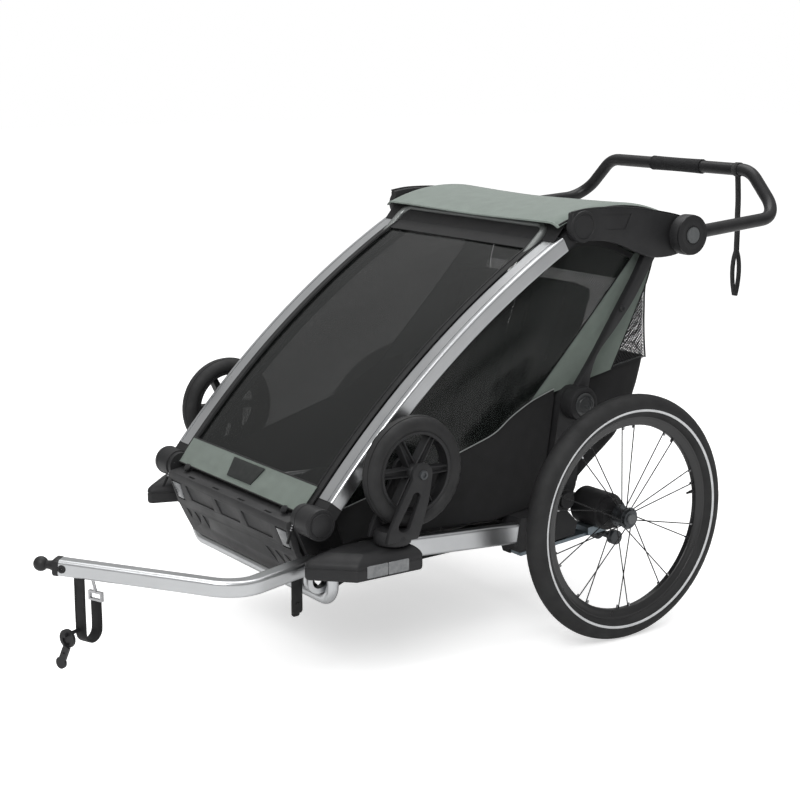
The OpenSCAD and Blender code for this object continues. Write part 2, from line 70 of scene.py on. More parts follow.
# %% Camera
CAMERA_FROM_AXLE = Vector((2.7435, -2.2022, 1.1720))
AZIMUTH, ELEVATION = math.radians(55.07), math.radians(12.04)
view_line = Vector((-math.sin(AZIMUTH) * math.cos(ELEVATION), math.cos(AZIMUTH) * math.cos(ELEVATION),
                    -math.sin(ELEVATION)))
bpy.ops.object.camera_add(location=CAMERA_FROM_AXLE + Vector((0, AXLE_Y, 0)))
camera = bpy.context.object
camera.data.lens = 74.95
camera.data.sensor_width = 36
camera.rotation_euler = view_line.to_track_quat("-Z", "Y").to_euler()
bpy.context.scene.camera = camera
print("camera at", [round(c, 3) for c in camera.location])

# %% [markdown]
# Everything below is placed from the wheel axle, because that is how the trailer was designed:
# y = 0 at the axle, z from the ground, in millimetres. One helper turns such a point into the
# frame's metres.

# %% Places
def at(x, y, z):
    return Vector((x / 1000, y / 1000 + AXLE_Y, z / 1000))


HALF_W = 250
PILLAR_R, PILLAR_C = 1910.1, (822.4, -859.8)
FRONT_HINGE, TOP_PIVOT = (-668, 326), (-68, 828)
LEG_JOINT, LEG_HINGE, BAR_HINGE = (-56, 475), (160, 795), (192, 798)
WHEEL_X, WHEEL_Z = 376.5, 250
CASTER = (345, -500, 412)


def on_pillar(angle, radius=PILLAR_R):
    """A side-view point (y, z) on the pillars' bow."""
    a = math.radians(angle)
    return PILLAR_C[0] + radius * math.cos(a), PILLAR_C[1] + radius * math.sin(a)


# %% [markdown]
# A small set of bench tools comes first. Each starts from one of Blender's primitives and shapes
# it in edit mode: a closed profile is spun into a turned part, swept along a bent path, or
# extruded into a plate; rings are lofted into a moulded shell; a grid becomes a sheet of cloth.

# %% Bench tools: selection and finishing
def deselect():
    if bpy.context.mode != "OBJECT":
        bpy.ops.object.mode_set(mode="OBJECT")
    bpy.ops.object.select_all(action="DESELECT")


def profile_loop(name, points, fill="NOTHING"):
    """A circle primitive whose corners are moved onto the given points."""
    deselect()
    bpy.ops.mesh.primitive_circle_add(vertices=len(points), fill_type=fill)
    piece = bpy.context.object
    piece.name = name
    for corner, point in zip(piece.data.vertices, points):
        corner.co = point
    return piece


def to_edit(select="SELECT"):
    bpy.ops.object.mode_set(mode="EDIT")
    bpy.ops.mesh.select_mode(type="VERT")
    bpy.ops.mesh.select_all(action=select)


def close_and_leave(caps=True):
    """Merges doubles, caps open ends and turns the faces outwards."""
    bpy.ops.mesh.select_all(action="SELECT")
    bpy.ops.mesh.remove_doubles(threshold=1e-5)
    if caps:
        bpy.ops.mesh.select_all(action="DESELECT")
        bpy.ops.mesh.select_non_manifold(extend=False, use_wire=False, use_multi_face=False,
                                         use_non_contiguous=False, use_verts=False)
        bpy.ops.mesh.fill_holes(sides=0)
        bpy.ops.mesh.select_all(action="SELECT")
    bpy.ops.mesh.normals_make_consistent(inside=False)
    bpy.ops.object.mode_set(mode="OBJECT")


def use_modifier(piece, kind, **settings):
    """Adds a modifier with its settings and applies it."""
    deselect()
    piece.select_set(True)
    bpy.context.view_layer.objects.active = piece
    modifier = piece.modifiers.new(kind.title(), kind)
    for key, value in settings.items():
        setattr(modifier, key, value)
    bpy.ops.object.modifier_apply(modifier=modifier.name)


def bevelled(piece, width, segments=2, angle=35):
    use_modifier(piece, "BEVEL", width=width / 1000, segments=segments, limit_method="ANGLE",
                 angle_limit=math.radians(angle), harden_normals=False)


def smooth(piece, angle=32):
    deselect()
    piece.select_set(True)
    bpy.context.view_layer.objects.active = piece
    bpy.ops.object.shade_smooth_by_angle(angle=math.radians(angle))


def done(piece, material, body=None, slot=None, stands_for=(), angle=32):
    """The last step of each piece: shading, material, body and the nodes it stands for."""
    smooth(piece, angle)
    piece.data.materials.clear()
    piece.data.materials.append(material)
    if body:
        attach(piece, body)
    if stands_for:
        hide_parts(*stands_for)
    return piece


def copy_of(piece, name, move=Matrix.Identity(4)):
    """The same piece once more, with its own mesh."""
    twin = piece.copy()
    twin.data = piece.data.copy()
    twin.name = name
    bpy.context.scene.collection.objects.link(twin)
    twin.data.transform(move)
    return twin


def mirror_copy(piece, name):
    """The same piece for the other side."""
    twin = copy_of(piece, name, Matrix.Scale(-1, 4, (1, 0, 0)))
    twin.data.flip_normals()
    return twin


def about(centre, axis, degrees):
    """A turn about an axis through a point."""
    spot = at(*centre)
    return Matrix.Translation(spot) @ Matrix.Rotation(math.radians(degrees), 4, axis) @ Matrix.Translation(-spot)


def cut(piece, cutter):
    """Takes the cutter's volume out of the piece."""
    use_modifier(piece, "BOOLEAN", object=cutter, operation="DIFFERENCE", solver="EXACT")
    bpy.data.objects.remove(cutter)


def pocket(piece, chosen, rim, push):
    """Insets the chosen faces by a rim, in millimetres, and pushes them along a direction."""
    deselect()
    bpy.context.view_layer.objects.active = piece
    piece.select_set(True)
    to_edit("DESELECT")
    bpy.ops.mesh.select_mode(type="FACE")
    bpy.ops.object.mode_set(mode="OBJECT")
    for face in piece.data.polygons:
        face.select = chosen(face.center, face.normal)
    bpy.ops.object.mode_set(mode="EDIT")
    bpy.ops.mesh.inset(thickness=rim / 1000, depth=0)
    bpy.ops.mesh.extrude_region_move(TRANSFORM_OT_translate={"value": Vector(push) / 1000})
    bpy.ops.object.mode_set(mode="OBJECT")


def joined(pieces, name):
    deselect()
    for piece in pieces:
        piece.select_set(True)
    bpy.context.view_layer.objects.active = pieces[0]
    bpy.ops.object.join()
    pieces[0].name = name
    return pieces[0]


# %% [markdown]
# Turned parts, tubes, plates, lofts and sheets. A tube is pushed through its straight runs with
# extrude and turned round its bends with spin, as a tube bender does.

# %% Bench tools: forms
def turned(name, profile, centre, steps=64, axis=(1, 0, 0)):
    """Spins a closed (radius, along) profile in millimetres about an axis through centre."""
    line = Vector(axis).normalized()
    out = frame_of(line)[1]
    loop = profile_loop(name, [at(*centre) + out * (r / 1000) + line * (x / 1000) for r, x in profile])
    to_edit()
    bpy.ops.mesh.spin(steps=steps, angle=2 * math.pi, center=at(*centre), axis=line)
    close_and_leave(caps=False)
    return loop


def plate(name, outline, x0, x1, bevel=0, segments=2):
    """Extrudes a side-view outline of (y, z) points from x0 to x1."""
    piece = profile_loop(name, [at(x0, y, z) for y, z in outline], fill="NGON")
    to_edit()
    bpy.ops.mesh.extrude_region_move(TRANSFORM_OT_translate={"value": ((x1 - x0) / 1000, 0, 0)})
    close_and_leave()
    if bevel:
        bevelled(piece, bevel, segments)
    return piece


def frame_of(d, up=None):
    """Two directions square to d: sideways and upright."""
    up = up or (Vector((0, 0, 1)) if abs(d.z) < 0.9 else Vector((1, 0, 0)))
    side = d.cross(up).normalized()
    return side, side.cross(d).normalized()


def tube(name, path, section, bend, steps=10):
    """Sweeps a closed section along a path of frame points with round bends. Section in mm."""
    d = (path[1] - path[0]).normalized()
    side, up = frame_of(d)
    start = [path[0] + side * (a / 1000) + up * (b / 1000) for a, b in section]
    piece = profile_loop(name, start)
    to_edit()
    here = path[0]
    for i in range(1, len(path)):
        d = (path[i] - path[i - 1]).normalized()
        if i == len(path) - 1:
            bpy.ops.mesh.extrude_region_move(TRANSFORM_OT_translate={"value": path[i] - here})
            break
        e = (path[i + 1] - path[i]).normalized()
        turn = d.angle(e)
        axis = d.cross(e).normalized()
        cut = bend / 1000 * math.tan(turn / 2)
        begin = path[i] - d * cut
        bpy.ops.mesh.extrude_region_move(TRANSFORM_OT_translate={"value": begin - here})
        centre = begin + axis.cross(d) * (bend / 1000)
        bpy.ops.mesh.spin(steps=steps, angle=turn, center=centre, axis=-axis)
        here = path[i] + e * cut
    close_and_leave()
    return piece


def circle(radius, corners=24):
    return [(radius * math.cos(2 * math.pi * i / corners), radius * math.sin(2 * math.pi * i / corners))
            for i in range(corners)]


def rounded(w, h, r, per_corner=4):
    """A rectangle with round corners, as points."""
    points = []
    for cx, cy, a0 in ((1, 1, 0), (-1, 1, 90), (-1, -1, 180), (1, -1, 270)):
        for i in range(per_corner + 1):
            a = math.radians(a0 + 90 * i / per_corner)
            points.append((cx * (w / 2 - r) + r * math.cos(a), cy * (h / 2 - r) + r * math.sin(a)))
    return points


def loft(name, rings, subdivide=0, caps=True):
    """Extrudes a closed ring through a list of rings of frame points."""
    piece = profile_loop(name, rings[0])
    count = len(rings[0])
    for ring in rings[1:]:
        to_edit("DESELECT")
        bpy.ops.object.mode_set(mode="OBJECT")
        for corner in piece.data.vertices[-count:]:
            corner.select = True
        bpy.ops.object.mode_set(mode="EDIT")
        bpy.ops.mesh.extrude_region_move()
        bpy.ops.object.mode_set(mode="OBJECT")
        for corner, point in zip(piece.data.vertices[-count:], ring):
            corner.co = point
    to_edit()
    close_and_leave(caps)
    if subdivide:
        use_modifier(piece, "SUBSURF", levels=subdivide, render_levels=subdivide)
    return piece


def sheet(name, rows, columns, place, thickness=0.0):
    """A grid primitive laid on place(u, v), with u and v from 0 to 1, then given a thickness."""
    deselect()
    bpy.ops.mesh.primitive_grid_add(x_subdivisions=columns, y_subdivisions=rows, size=1)
    piece = bpy.context.object
    piece.name = name
    for corner in piece.data.vertices:
        corner.co = place(corner.co.x + 0.5, corner.co.y + 0.5)
    if thickness:
        use_modifier(piece, "SOLIDIFY", thickness=thickness / 1000, offset=0)
    return piece


def along(points, t):
    """A smooth curve through a few given points, at t from 0 to 1."""
    spot = t * (len(points) - 1)
    i = min(int(spot), len(points) - 2)
    f = spot - i
    p0, p1 = Vector(points[max(i - 1, 0)]), Vector(points[i])
    p2, p3 = Vector(points[i + 1]), Vector(points[min(i + 2, len(points) - 1)])
    return 0.5 * (2 * p1 + (p2 - p0) * f + (2 * p0 - 5 * p1 + 4 * p2 - p3) * f ** 2
                  + (3 * p1 - p0 - 3 * p2 + p3) * f ** 3)


print("bench tools ready")

# %% [markdown]
# The stage is a wide pale floor under an even white sky, with two large soft lamps: one over the
# near front, so that the tubes get a bright upper side, and one behind that lifts the dark edges.

# %% Stage and lights
deselect()
bpy.ops.mesh.primitive_plane_add(size=40, location=(0, 0, 0))
floor = bpy.context.object
floor.name = "studio_floor"

sky = bpy.data.worlds.new("studio_sky")
sky.use_nodes = True
tree = sky.node_tree
white = tree.nodes["Background"]
white.inputs["Color"].default_value = (1, 1, 1, 1)
room = tree.nodes.new("ShaderNodeBackground")
height = tree.nodes.new("ShaderNodeSeparateXYZ")
shade = tree.nodes.new("ShaderNodeMapRange")
direction = tree.nodes.new("ShaderNodeTexCoord")
shade.inputs["From Min"].default_value, shade.inputs["From Max"].default_value = 0.0, 0.9
shade.inputs["To Min"].default_value, shade.inputs["To Max"].default_value = 0.22, 0.95
mix, path = tree.nodes.new("ShaderNodeMixShader"), tree.nodes.new("ShaderNodeLightPath")
for start, end in ((direction.outputs["Generated"], height.inputs[0]), (height.outputs["Z"], shade.inputs["Value"]),
                   (shade.outputs[0], room.inputs["Strength"]), (path.outputs["Is Camera Ray"], mix.inputs["Fac"]),
                   (room.outputs[0], mix.inputs[1]), (white.outputs[0], mix.inputs[2]),
                   (mix.outputs[0], tree.nodes["World Output"].inputs["Surface"])):
    tree.links.new(start, end)
bpy.context.scene.world = sky
bpy.context.scene.view_settings.view_transform = "Standard"


def softbox(name, place, target, size, power):
    bpy.ops.object.light_add(type="AREA", location=place)
    lamp = bpy.context.object
    lamp.name = name
    lamp.data.size = size
    lamp.data.energy = power
    lamp.rotation_euler = (Vector(target) - Vector(place)).to_track_quat("-Z", "Y").to_euler()
    return lamp


softbox("near_softbox", (2.6, -2.4, 3.2), (0, 0, 0.4), 2.2, 95)
softbox("top_softbox", (-0.6, 0.6, 3.6), (0, 0, 0.4), 2.6, 60)
print("stage set")

# %% [markdown]
# Finishes are node materials. Each one starts from a shader with its constant numbers, and adds a
# pattern at its real scale: grain on moulded plastic, drawn streaks on aluminium, weave on cloth.
# The patterns read Object coordinates, which are metres on the trailer, so they never slide.

# %% Finishes: helpers
def finish(name, colour, roughness, metallic=0.0, alpha=1.0, specular=0.28, sheen=0.0):
    made = bpy.data.materials.new(name)
    made.use_nodes = True
    shader = made.node_tree.nodes["Principled BSDF"]
    for key, value in (("Base Color", (*colour, 1)), ("Roughness", roughness), ("Metallic", metallic),
                       ("Alpha", alpha), ("Specular IOR Level", specular), ("Sheen Weight", sheen)):
        shader.inputs[key].default_value = value
    made.diffuse_color = (*colour, alpha)
    return made


def add(made, kind, inputs=(), **settings):
    """Adds a shader node; an input is a number, or another node's output to link from."""
    new = made.node_tree.nodes.new("ShaderNode" + kind)
    for key, value in settings.items():
        setattr(new, key, value)
    for key, value in dict(inputs).items():
        if isinstance(value, bpy.types.NodeSocket):
            made.node_tree.links.new(value, new.inputs[key])
        else:
            new.inputs[key].default_value = value
    return new


def pattern_space(made, scale=(1, 1, 1), turn=(0, 0, 0), source="Object"):
    place = add(made, "TexCoord").outputs[source]
    turned_by = [math.radians(t) for t in turn]
    return add(made, "Mapping", {"Vector": place, "Scale": scale, "Rotation": turned_by}).outputs[0]


def shader_of(made):
    return made.node_tree.nodes["Principled BSDF"]


def tint(made, dark, light, scale, stretch=(1, 1, 1), detail=3):
    """Lets the colour drift between two tones."""
    noise = add(made, "TexNoise", {"Vector": pattern_space(made, stretch), "Scale": scale, "Detail": detail})
    ramp = add(made, "ValToRGB", {"Fac": noise.outputs["Fac"]})
    ramp.color_ramp.elements[0].color = (*dark, 1)
    ramp.color_ramp.elements[1].color = (*light, 1)
    ramp.color_ramp.elements[0].position, ramp.color_ramp.elements[1].position = 0.3, 0.7
    made.node_tree.links.new(ramp.outputs[0], shader_of(made).inputs["Base Color"])


def patchy_gloss(made, low, high, scale, stretch=(1, 1, 1)):
    """Lets the roughness drift, as handling and moulding leave it."""
    noise = add(made, "TexNoise", {"Vector": pattern_space(made, stretch), "Scale": scale, "Detail": 4})
    spread = add(made, "MapRange", {"Value": noise.outputs["Fac"], "From Min": 0.3, "From Max": 0.7,
                                    "To Min": low, "To Max": high})
    made.node_tree.links.new(spread.outputs[0], shader_of(made).inputs["Roughness"])


def relief(made, height, depth, strength=1.0):
    """Adds a height, in millimetres of depth, on top of any relief already there."""
    socket = shader_of(made).inputs["Normal"]
    bump = add(made, "Bump", {"Height": height, "Distance": depth / 1000, "Strength": strength})
    if socket.is_linked:
        made.node_tree.links.new(socket.links[0].from_socket, bump.inputs["Normal"])
    made.node_tree.links.new(bump.outputs[0], socket)


def grain(made, scale, depth, stretch=(1, 1, 1), strength=1.0):
    noise = add(made, "TexNoise", {"Vector": pattern_space(made, stretch), "Scale": scale, "Detail": 2})
    relief(made, noise.outputs["Fac"], depth, strength)


def weave(made, pitch, depth, turn=(0, 0, 0), strength=1.0):
    """Two crossed sets of threads, pitch in millimetres."""
    space = pattern_space(made, turn=turn)
    rings = 2 * math.pi / (pitch / 1000) / 20
    for axis in ("X", "Y", "Z"):
        threads = add(made, "TexWave", {"Vector": space, "Scale": rings}, bands_direction=axis)
        relief(made, threads.outputs["Fac"], depth, strength)


# %% [markdown]
# The metals. Extruded aluminium is satin with fine lines along its length; black coated tube has
# only a soft orange-peel; turned steel is brighter and a little rougher at its edges.

# %% Finishes: metals
aluminium = finish("satin_aluminium", (0.56, 0.57, 0.58), 0.30, metallic=1.0)
tint(aluminium, (0.52, 0.53, 0.54), (0.61, 0.62, 0.63), 9)
patchy_gloss(aluminium, 0.27, 0.36, 14, (1, 0.2, 0.2))
grain(aluminium, 900, 0.012, (6, 0.15, 0.15), 0.5)

hoop_metal = finish("hoop_grey_metal", (0.20, 0.21, 0.205), 0.36, metallic=0.7)
patchy_gloss(hoop_metal, 0.30, 0.42, 22)
grain(hoop_metal, 500, 0.01)

coated_tube = finish("black_coated_tube", (0.016, 0.016, 0.017), 0.34, metallic=0.0)
tint(coated_tube, (0.013, 0.013, 0.014), (0.020, 0.020, 0.021), 30)
patchy_gloss(coated_tube, 0.30, 0.40, 40)
grain(coated_tube, 1100, 0.02)

dark_steel = finish("dark_steel", (0.09, 0.095, 0.10), 0.42, metallic=0.8)
tint(dark_steel, (0.07, 0.075, 0.08), (0.11, 0.115, 0.12), 50)
grain(dark_steel, 700, 0.03)

spring_steel = finish("spring_steel", (0.19, 0.225, 0.25), 0.38, metallic=0.85)
tint(spring_steel, (0.16, 0.195, 0.22), (0.22, 0.255, 0.28), 40)
grain(spring_steel, 500, 0.03, (1, 0.2, 1))

bright_steel = finish("bright_steel", (0.52, 0.52, 0.53), 0.26, metallic=1.0)
tint(bright_steel, (0.45, 0.45, 0.46), (0.58, 0.58, 0.59), 70)
patchy_gloss(bright_steel, 0.2, 0.34, 90)

rim_metal = finish("rim_black_metal", (0.012, 0.012, 0.0125), 0.30, metallic=0.0, specular=0.6)
patchy_gloss(rim_metal, 0.26, 0.36, 30)
grain(rim_metal, 900, 0.015)

spoke_metal = finish("spoke_black_metal", (0.022, 0.022, 0.023), 0.28, metallic=0.6)
patchy_gloss(spoke_metal, 0.22, 0.36, 80)

hub_metal = finish("hub_anodised", (0.085, 0.09, 0.095), 0.34, metallic=0.9)
tint(hub_metal, (0.075, 0.08, 0.085), (0.10, 0.105, 0.11), 60)
grain(hub_metal, 900, 0.015)
print("metals ready")

# %% [markdown]
# Plastics and rubber. Moulded shells have a fine spark-eroded grain that breaks up the highlight;
# the front panel's is coarser and its black a little greyer. Rubber is duller still.

# %% Finishes: plastics and rubber
shell_plastic = finish("black_moulded_plastic", (0.020, 0.020, 0.021), 0.46)
tint(shell_plastic, (0.017, 0.017, 0.018), (0.024, 0.024, 0.025), 18)
patchy_gloss(shell_plastic, 0.42, 0.54, 26)
grain(shell_plastic, 1500, 0.05)

panel_plastic = finish("front_panel_plastic", (0.036, 0.036, 0.037), 0.55)
tint(panel_plastic, (0.031, 0.031, 0.032), (0.041, 0.041, 0.042), 14)
patchy_gloss(panel_plastic, 0.48, 0.62, 20)
grain(panel_plastic, 1100, 0.09)

grey_plastic = finish("grey_button_plastic", (0.105, 0.11, 0.112), 0.38)
tint(grey_plastic, (0.095, 0.10, 0.102), (0.115, 0.12, 0.122), 60)
grain(grey_plastic, 1400, 0.02)

lens_plastic = finish("smoked_lens", (0.045, 0.047, 0.048), 0.28, specular=0.5)
tint(lens_plastic, (0.038, 0.040, 0.041), (0.052, 0.054, 0.055), 70)
patchy_gloss(lens_plastic, 0.22, 0.34, 60)

reflector_plastic = finish("reflector_prisms", (0.16, 0.165, 0.17), 0.18, specular=0.6)
prisms = add(reflector_plastic, "TexVoronoi", {"Vector": pattern_space(reflector_plastic), "Scale": 330.0})
relief(reflector_plastic, prisms.outputs["Distance"], 0.25)
tint(reflector_plastic, (0.13, 0.135, 0.14), (0.20, 0.205, 0.21), 80)

tyre_rubber = finish("tyre_rubber", (0.020, 0.020, 0.0205), 0.62)
tint(tyre_rubber, (0.017, 0.017, 0.0175), (0.026, 0.026, 0.0265), 25)
patchy_gloss(tyre_rubber, 0.55, 0.72, 30)
grain(tyre_rubber, 600, 0.06)

grip_rubber = finish("grip_wrap", (0.013, 0.013, 0.014), 0.72)
tint(grip_rubber, (0.010, 0.010, 0.011), (0.018, 0.018, 0.019), 200)
dimples = add(grip_rubber, "TexVoronoi", {"Vector": pattern_space(grip_rubber, (0.7, 1, 1)), "Scale": 420.0})
relief(grip_rubber, dimples.outputs["Distance"], 0.5)

strap_rubber = finish("strap_rubber", (0.011, 0.011, 0.0115), 0.58)
tint(strap_rubber, (0.009, 0.009, 0.0095), (0.016, 0.016, 0.0165), 60)
grain(strap_rubber, 700, 0.08)

stripe_white = finish("reflective_stripe", (0.62, 0.63, 0.64), 0.32, specular=0.7)
beads = add(stripe_white, "TexVoronoi", {"Vector": pattern_space(stripe_white), "Scale": 900.0})
relief(stripe_white, beads.outputs["Distance"], 0.05)
tint(stripe_white, (0.56, 0.57, 0.58), (0.68, 0.69, 0.70), 50)
print("plastics and rubber ready")

# %% [markdown]
# Cloth and film. Woven cloth has two crossed thread sets and a soft sheen. The mesh is cut out by
# its alpha where the holes are. The windows are smoky film, nearly clear and quite glossy, with a
# slow relief that makes the broken reflections of a folded sheet.

# %% Finishes: cloth and film
def cloth(name, colour, spread, pitch, depth, roughness=0.85, sheen=0.25):
    made = finish(name, colour, roughness, sheen=sheen)
    tint(made, tuple(c * (1 - spread) for c in colour), tuple(c * (1 + spread) for c in colour), 35)
    weave(made, pitch, depth)
    return made


roof_cloth = cloth("roof_cloth", (0.175, 0.208, 0.186), 0.07, 1.2, 0.06)
# The roof's green cloth made darker for the upright pieces (band, rear quarters, back strip): the darker tone is
# painted shade.
shaded_green_cloth = cloth("shaded_green_cloth", (0.135, 0.163, 0.143), 0.07, 1.2, 0.06)
black_cloth = cloth("black_coated_cloth", (0.0075, 0.0075, 0.008), 0.2, 1.3, 0.08, 0.8, 0.1)
seat_cloth = cloth("seat_cloth", (0.010, 0.010, 0.0105), 0.2, 2.2, 0.15, 0.9, 0.3)
webbing = cloth("webbing_ribbed", (0.010, 0.010, 0.0105), 0.25, 1.8, 0.25, 0.7, 0.2)
piping_cloth = cloth("reflective_piping", (0.22, 0.23, 0.225), 0.08, 1.0, 0.05, 0.5, 0.1)
border_cloth = cloth("window_border_cloth", (0.009, 0.009, 0.0095), 0.2, 1.0, 0.05, 0.75, 0.1)
badge_rubber = finish("badge_patch", (0.022, 0.024, 0.023), 0.5)
tint(badge_rubber, (0.019, 0.021, 0.020), (0.026, 0.028, 0.027), 90)
grain(badge_rubber, 900, 0.05)


def film(name, colour, alpha, roughness, wrinkle, depth):
    made = finish(name, colour, roughness, alpha=alpha, specular=0.35)
    slow = add(made, "TexNoise", {"Vector": pattern_space(made, (1, 1.6, 0.7), (20, 0, 0)),
                                  "Scale": wrinkle, "Detail": 2, "Distortion": 0.8})
    relief(made, slow.outputs["Fac"], depth)
    patchy_gloss(made, roughness * 0.8, roughness * 1.4, 7)
    made.surface_render_method = "BLENDED"
    return made


side_film = film("side_window_film", (0.008, 0.010, 0.009), 0.64, 0.18, 9, 1.6)
cover_film = film("front_cover_film", (0.008, 0.009, 0.0085), 0.68, 0.14, 6, 2)


def open_mesh(name, colour, pitch, strand):
    """A knitted mesh: square holes on the diagonal, cut by alpha, on the piece's own UV map in metres."""
    made = finish(name, colour, 0.75)
    space = pattern_space(made, turn=(0, 0, 45), source="UV")
    cells = add(made, "TexVoronoi", {"Vector": space, "Scale": 1000 / pitch, "Randomness": 0.0},
                feature="DISTANCE_TO_EDGE", voronoi_dimensions="2D")
    holes = add(made, "Math", {0: cells.outputs["Distance"], 1: strand}, operation="LESS_THAN")
    made.node_tree.links.new(holes.outputs[0], shader_of(made).inputs["Alpha"])
    relief(made, cells.outputs["Distance"], -0.6)
    tint(made, tuple(c * 0.8 for c in colour), tuple(c * 1.25 for c in colour), 60)
    made.surface_render_method = "DITHERED"
    return made


rear_mesh = open_mesh("rear_mesh", (0.018, 0.018, 0.019), 5.0, 0.14)
seat_mesh = open_mesh("seat_mesh", (0.045, 0.047, 0.047), 6.0, 0.30)
floor_white = finish("floor_white", (0.86, 0.86, 0.86), 0.9, specular=0.0)
tint(floor_white, (0.85, 0.85, 0.85), (0.87, 0.87, 0.87), 0.6)
shader_of(floor_white).inputs["Emission Color"].default_value = (1, 1, 1, 1)
seen = add(floor_white, "LightPath").outputs["Is Camera Ray"]
glow = add(floor_white, "MapRange", {"Value": seen, "To Min": 0.0, "To Max": 0.55})
floor_white.node_tree.links.new(glow.outputs[0], shader_of(floor_white).inputs["Emission Strength"])
floor.data.materials.append(floor_white)
print("cloth and film ready")

# %% [markdown]
# The parts that the frame already shapes well keep their own meshes. They only get their finish.

# %% Dress the frame's own parts
NODE_FINISH = {
    aluminium: ["base_frame", "front_pillars", "hitch_arm", "hitch_receiver"],
    dark_steel: ["axle_beam", "brake_rod"],
    spring_steel: ["leaf_springs"],
    coated_tube: ["handlebar_tube", "lock_pin"],
    bright_steel: ["snap_ring"],
    black_cloth: ["floor_pan"],
    shell_plastic: ["axle_drums", "rear_uprights", "pillar_knuckles", "front_brackets", "brake_pedal",
                    "pod_button_left", "pod_button_right", "handle_hinges"],
    grey_plastic: ["handle_button_left", "handle_button_right", "hub_button_left", "hub_button_right"],
    spoke_metal: ["spokes_left", "spokes_right"],
    hub_metal: ["hub_left", "hub_right"],
}


def dress(name, material):
    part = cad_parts[name]
    part.data.materials.clear()
    part.data.materials.append(material)


for material, names in NODE_FINISH.items():
    for name in names:
        dress(name, material)
print("dressed", sum(len(names) for names in NODE_FINISH.values()), "frame parts")

# %% [markdown]
# The wrist strap comes first, because it is the one free cord. It is 14 mm webbing looped round
# the crossbar: two layers hang together, and at the lower third they part into a hand loop.

# %% Wrist strap
STRAP_ROUTE = [(185, 478, 893), (185, 480, 870), (185, 482, 840), (185, 482, 810), (186, 482, 780),
               (187, 481, 750), (188, 480, 720), (189, 479, 690), (190, 478, 660), (190, 478, 634)]


def loop_opening(z):
    """How far the two layers of the strap stand apart, in millimetres, at a height."""
    if z < 730:
        return 3.2 + 17 * math.sin(math.pi * min(1, (730 - z) / 96) ** 0.85) ** 0.8
    return 3.2


down = [along(STRAP_ROUTE, i / 24) for i in range(25)]


def strap_layer(turn):
    """One layer of the strap and the centres of its rings."""
    route = [at(p.x, p.y + turn * loop_opening(p.z) / 2, p.z) for p in down]
    rings = [[q + Vector((w / 1000, t / 1000, 0)) for w, t in rounded(13, 1.6, 0.7, 2)] for q in route]
    return loft("strap_layer", rings), route


wrist_strap, strap_path = strap_layer(1)
wrist_strap.name = "wrist_strap_band"
returning = [strap_layer(-1)[0],
             turned("strap_bight", [(14.6 + t, w) for t, w in rounded(1.6, 13, 0.7, 2)], (185, 478, 908), 32),
             turned("strap_toe", [(2.6 + t, w) for t, w in rounded(1.6, 13, 0.7, 2)], (190, 478, 636), 20)]
strap_return = joined(returning, "wrist_strap_return")
done(wrist_strap, webbing, "handlebar", "webbing", ["wrist_strap"])
done(strap_return, webbing, "handlebar", "webbing")

# %% [markdown]
# A trailer tyre is one turned ring with a round crown. Its only tread is a row of fine slanting
# sipes on each shoulder, so those are pressed into the spun mesh by moving its points inwards.
# The reflective stripe is a thin band laid on the sidewall.

# %% Trailer tyres
TYRE_R, TYRE_CENTRE = 23.5, 226.5


def tyre_point(degrees, radius=TYRE_R):
    """A point of the tyre's section; 0 is the crown and 90 the outer sidewall."""
    a = math.radians(degrees)
    return TYRE_CENTRE + radius * math.cos(a), radius * math.sin(a)


def press_sipes(piece, centre, count, low, high, crown_radius, depth, slant=0.8, share=0.16):
    """Presses slanting sipes where the section's angle lies between low and high degrees."""
    middle = at(*centre)
    for corner in piece.data.vertices:
        p = corner.co - middle
        r = math.hypot(p.y, p.z)
        section = math.degrees(math.atan2(abs(p.x) * 1000, r * 1000 - crown_radius))
        around = math.atan2(p.z, p.y) / (2 * math.pi) * count
        if low < section < high and (around + slant * (section - low) / (high - low)) % 1 < share:
            corner.co -= Vector((p.x / 3, p.y / r, p.z / r)) * (depth / 1000)


section = [tyre_point(a) for a in range(0, 360, 9)]
tyre_left = turned("tyre_rubber_left", section, (WHEEL_X, 0, WHEEL_Z), 252)
press_sipes(tyre_left, (WHEEL_X, 0, WHEEL_Z), 42, 22, 62, TYRE_CENTRE, 1.1)
tyre_right = mirror_copy(tyre_left, "tyre_rubber_right")

band = [tyre_point(a, TYRE_R + h) for a, h in ((99, 0.1), (101, 0.6), (105, 0.6), (109, 0.6), (111, 0.1),
                                               (105, -0.8))]
stripe_outer = turned("stripe", band, (WHEEL_X, 0, WHEEL_Z), 160)
stripe_inner = turned("stripe", [(r, -x) for r, x in band], (WHEEL_X, 0, WHEEL_Z), 160)
stripe_left = joined([stripe_outer, stripe_inner], "tyre_stripe_left")
stripe_right = mirror_copy(stripe_left, "tyre_stripe_right")
for side, tyre, stripe in (("left", tyre_left, stripe_left), ("right", tyre_right, stripe_right)):
    done(tyre, tyre_rubber, f"wheel_{side}", "tyre_rubber", [f"tyre_{side}"], angle=50)
    done(stripe, stripe_white, f"wheel_{side}", "reflector")
print("tyres:", len(tyre_left.data.polygons), "faces each")

# %% [markdown]
# The rim is a deep black box section, turned like the tyre. Each spoke meets it in a small bright
# nipple, and one rubber valve stands inside the rim.

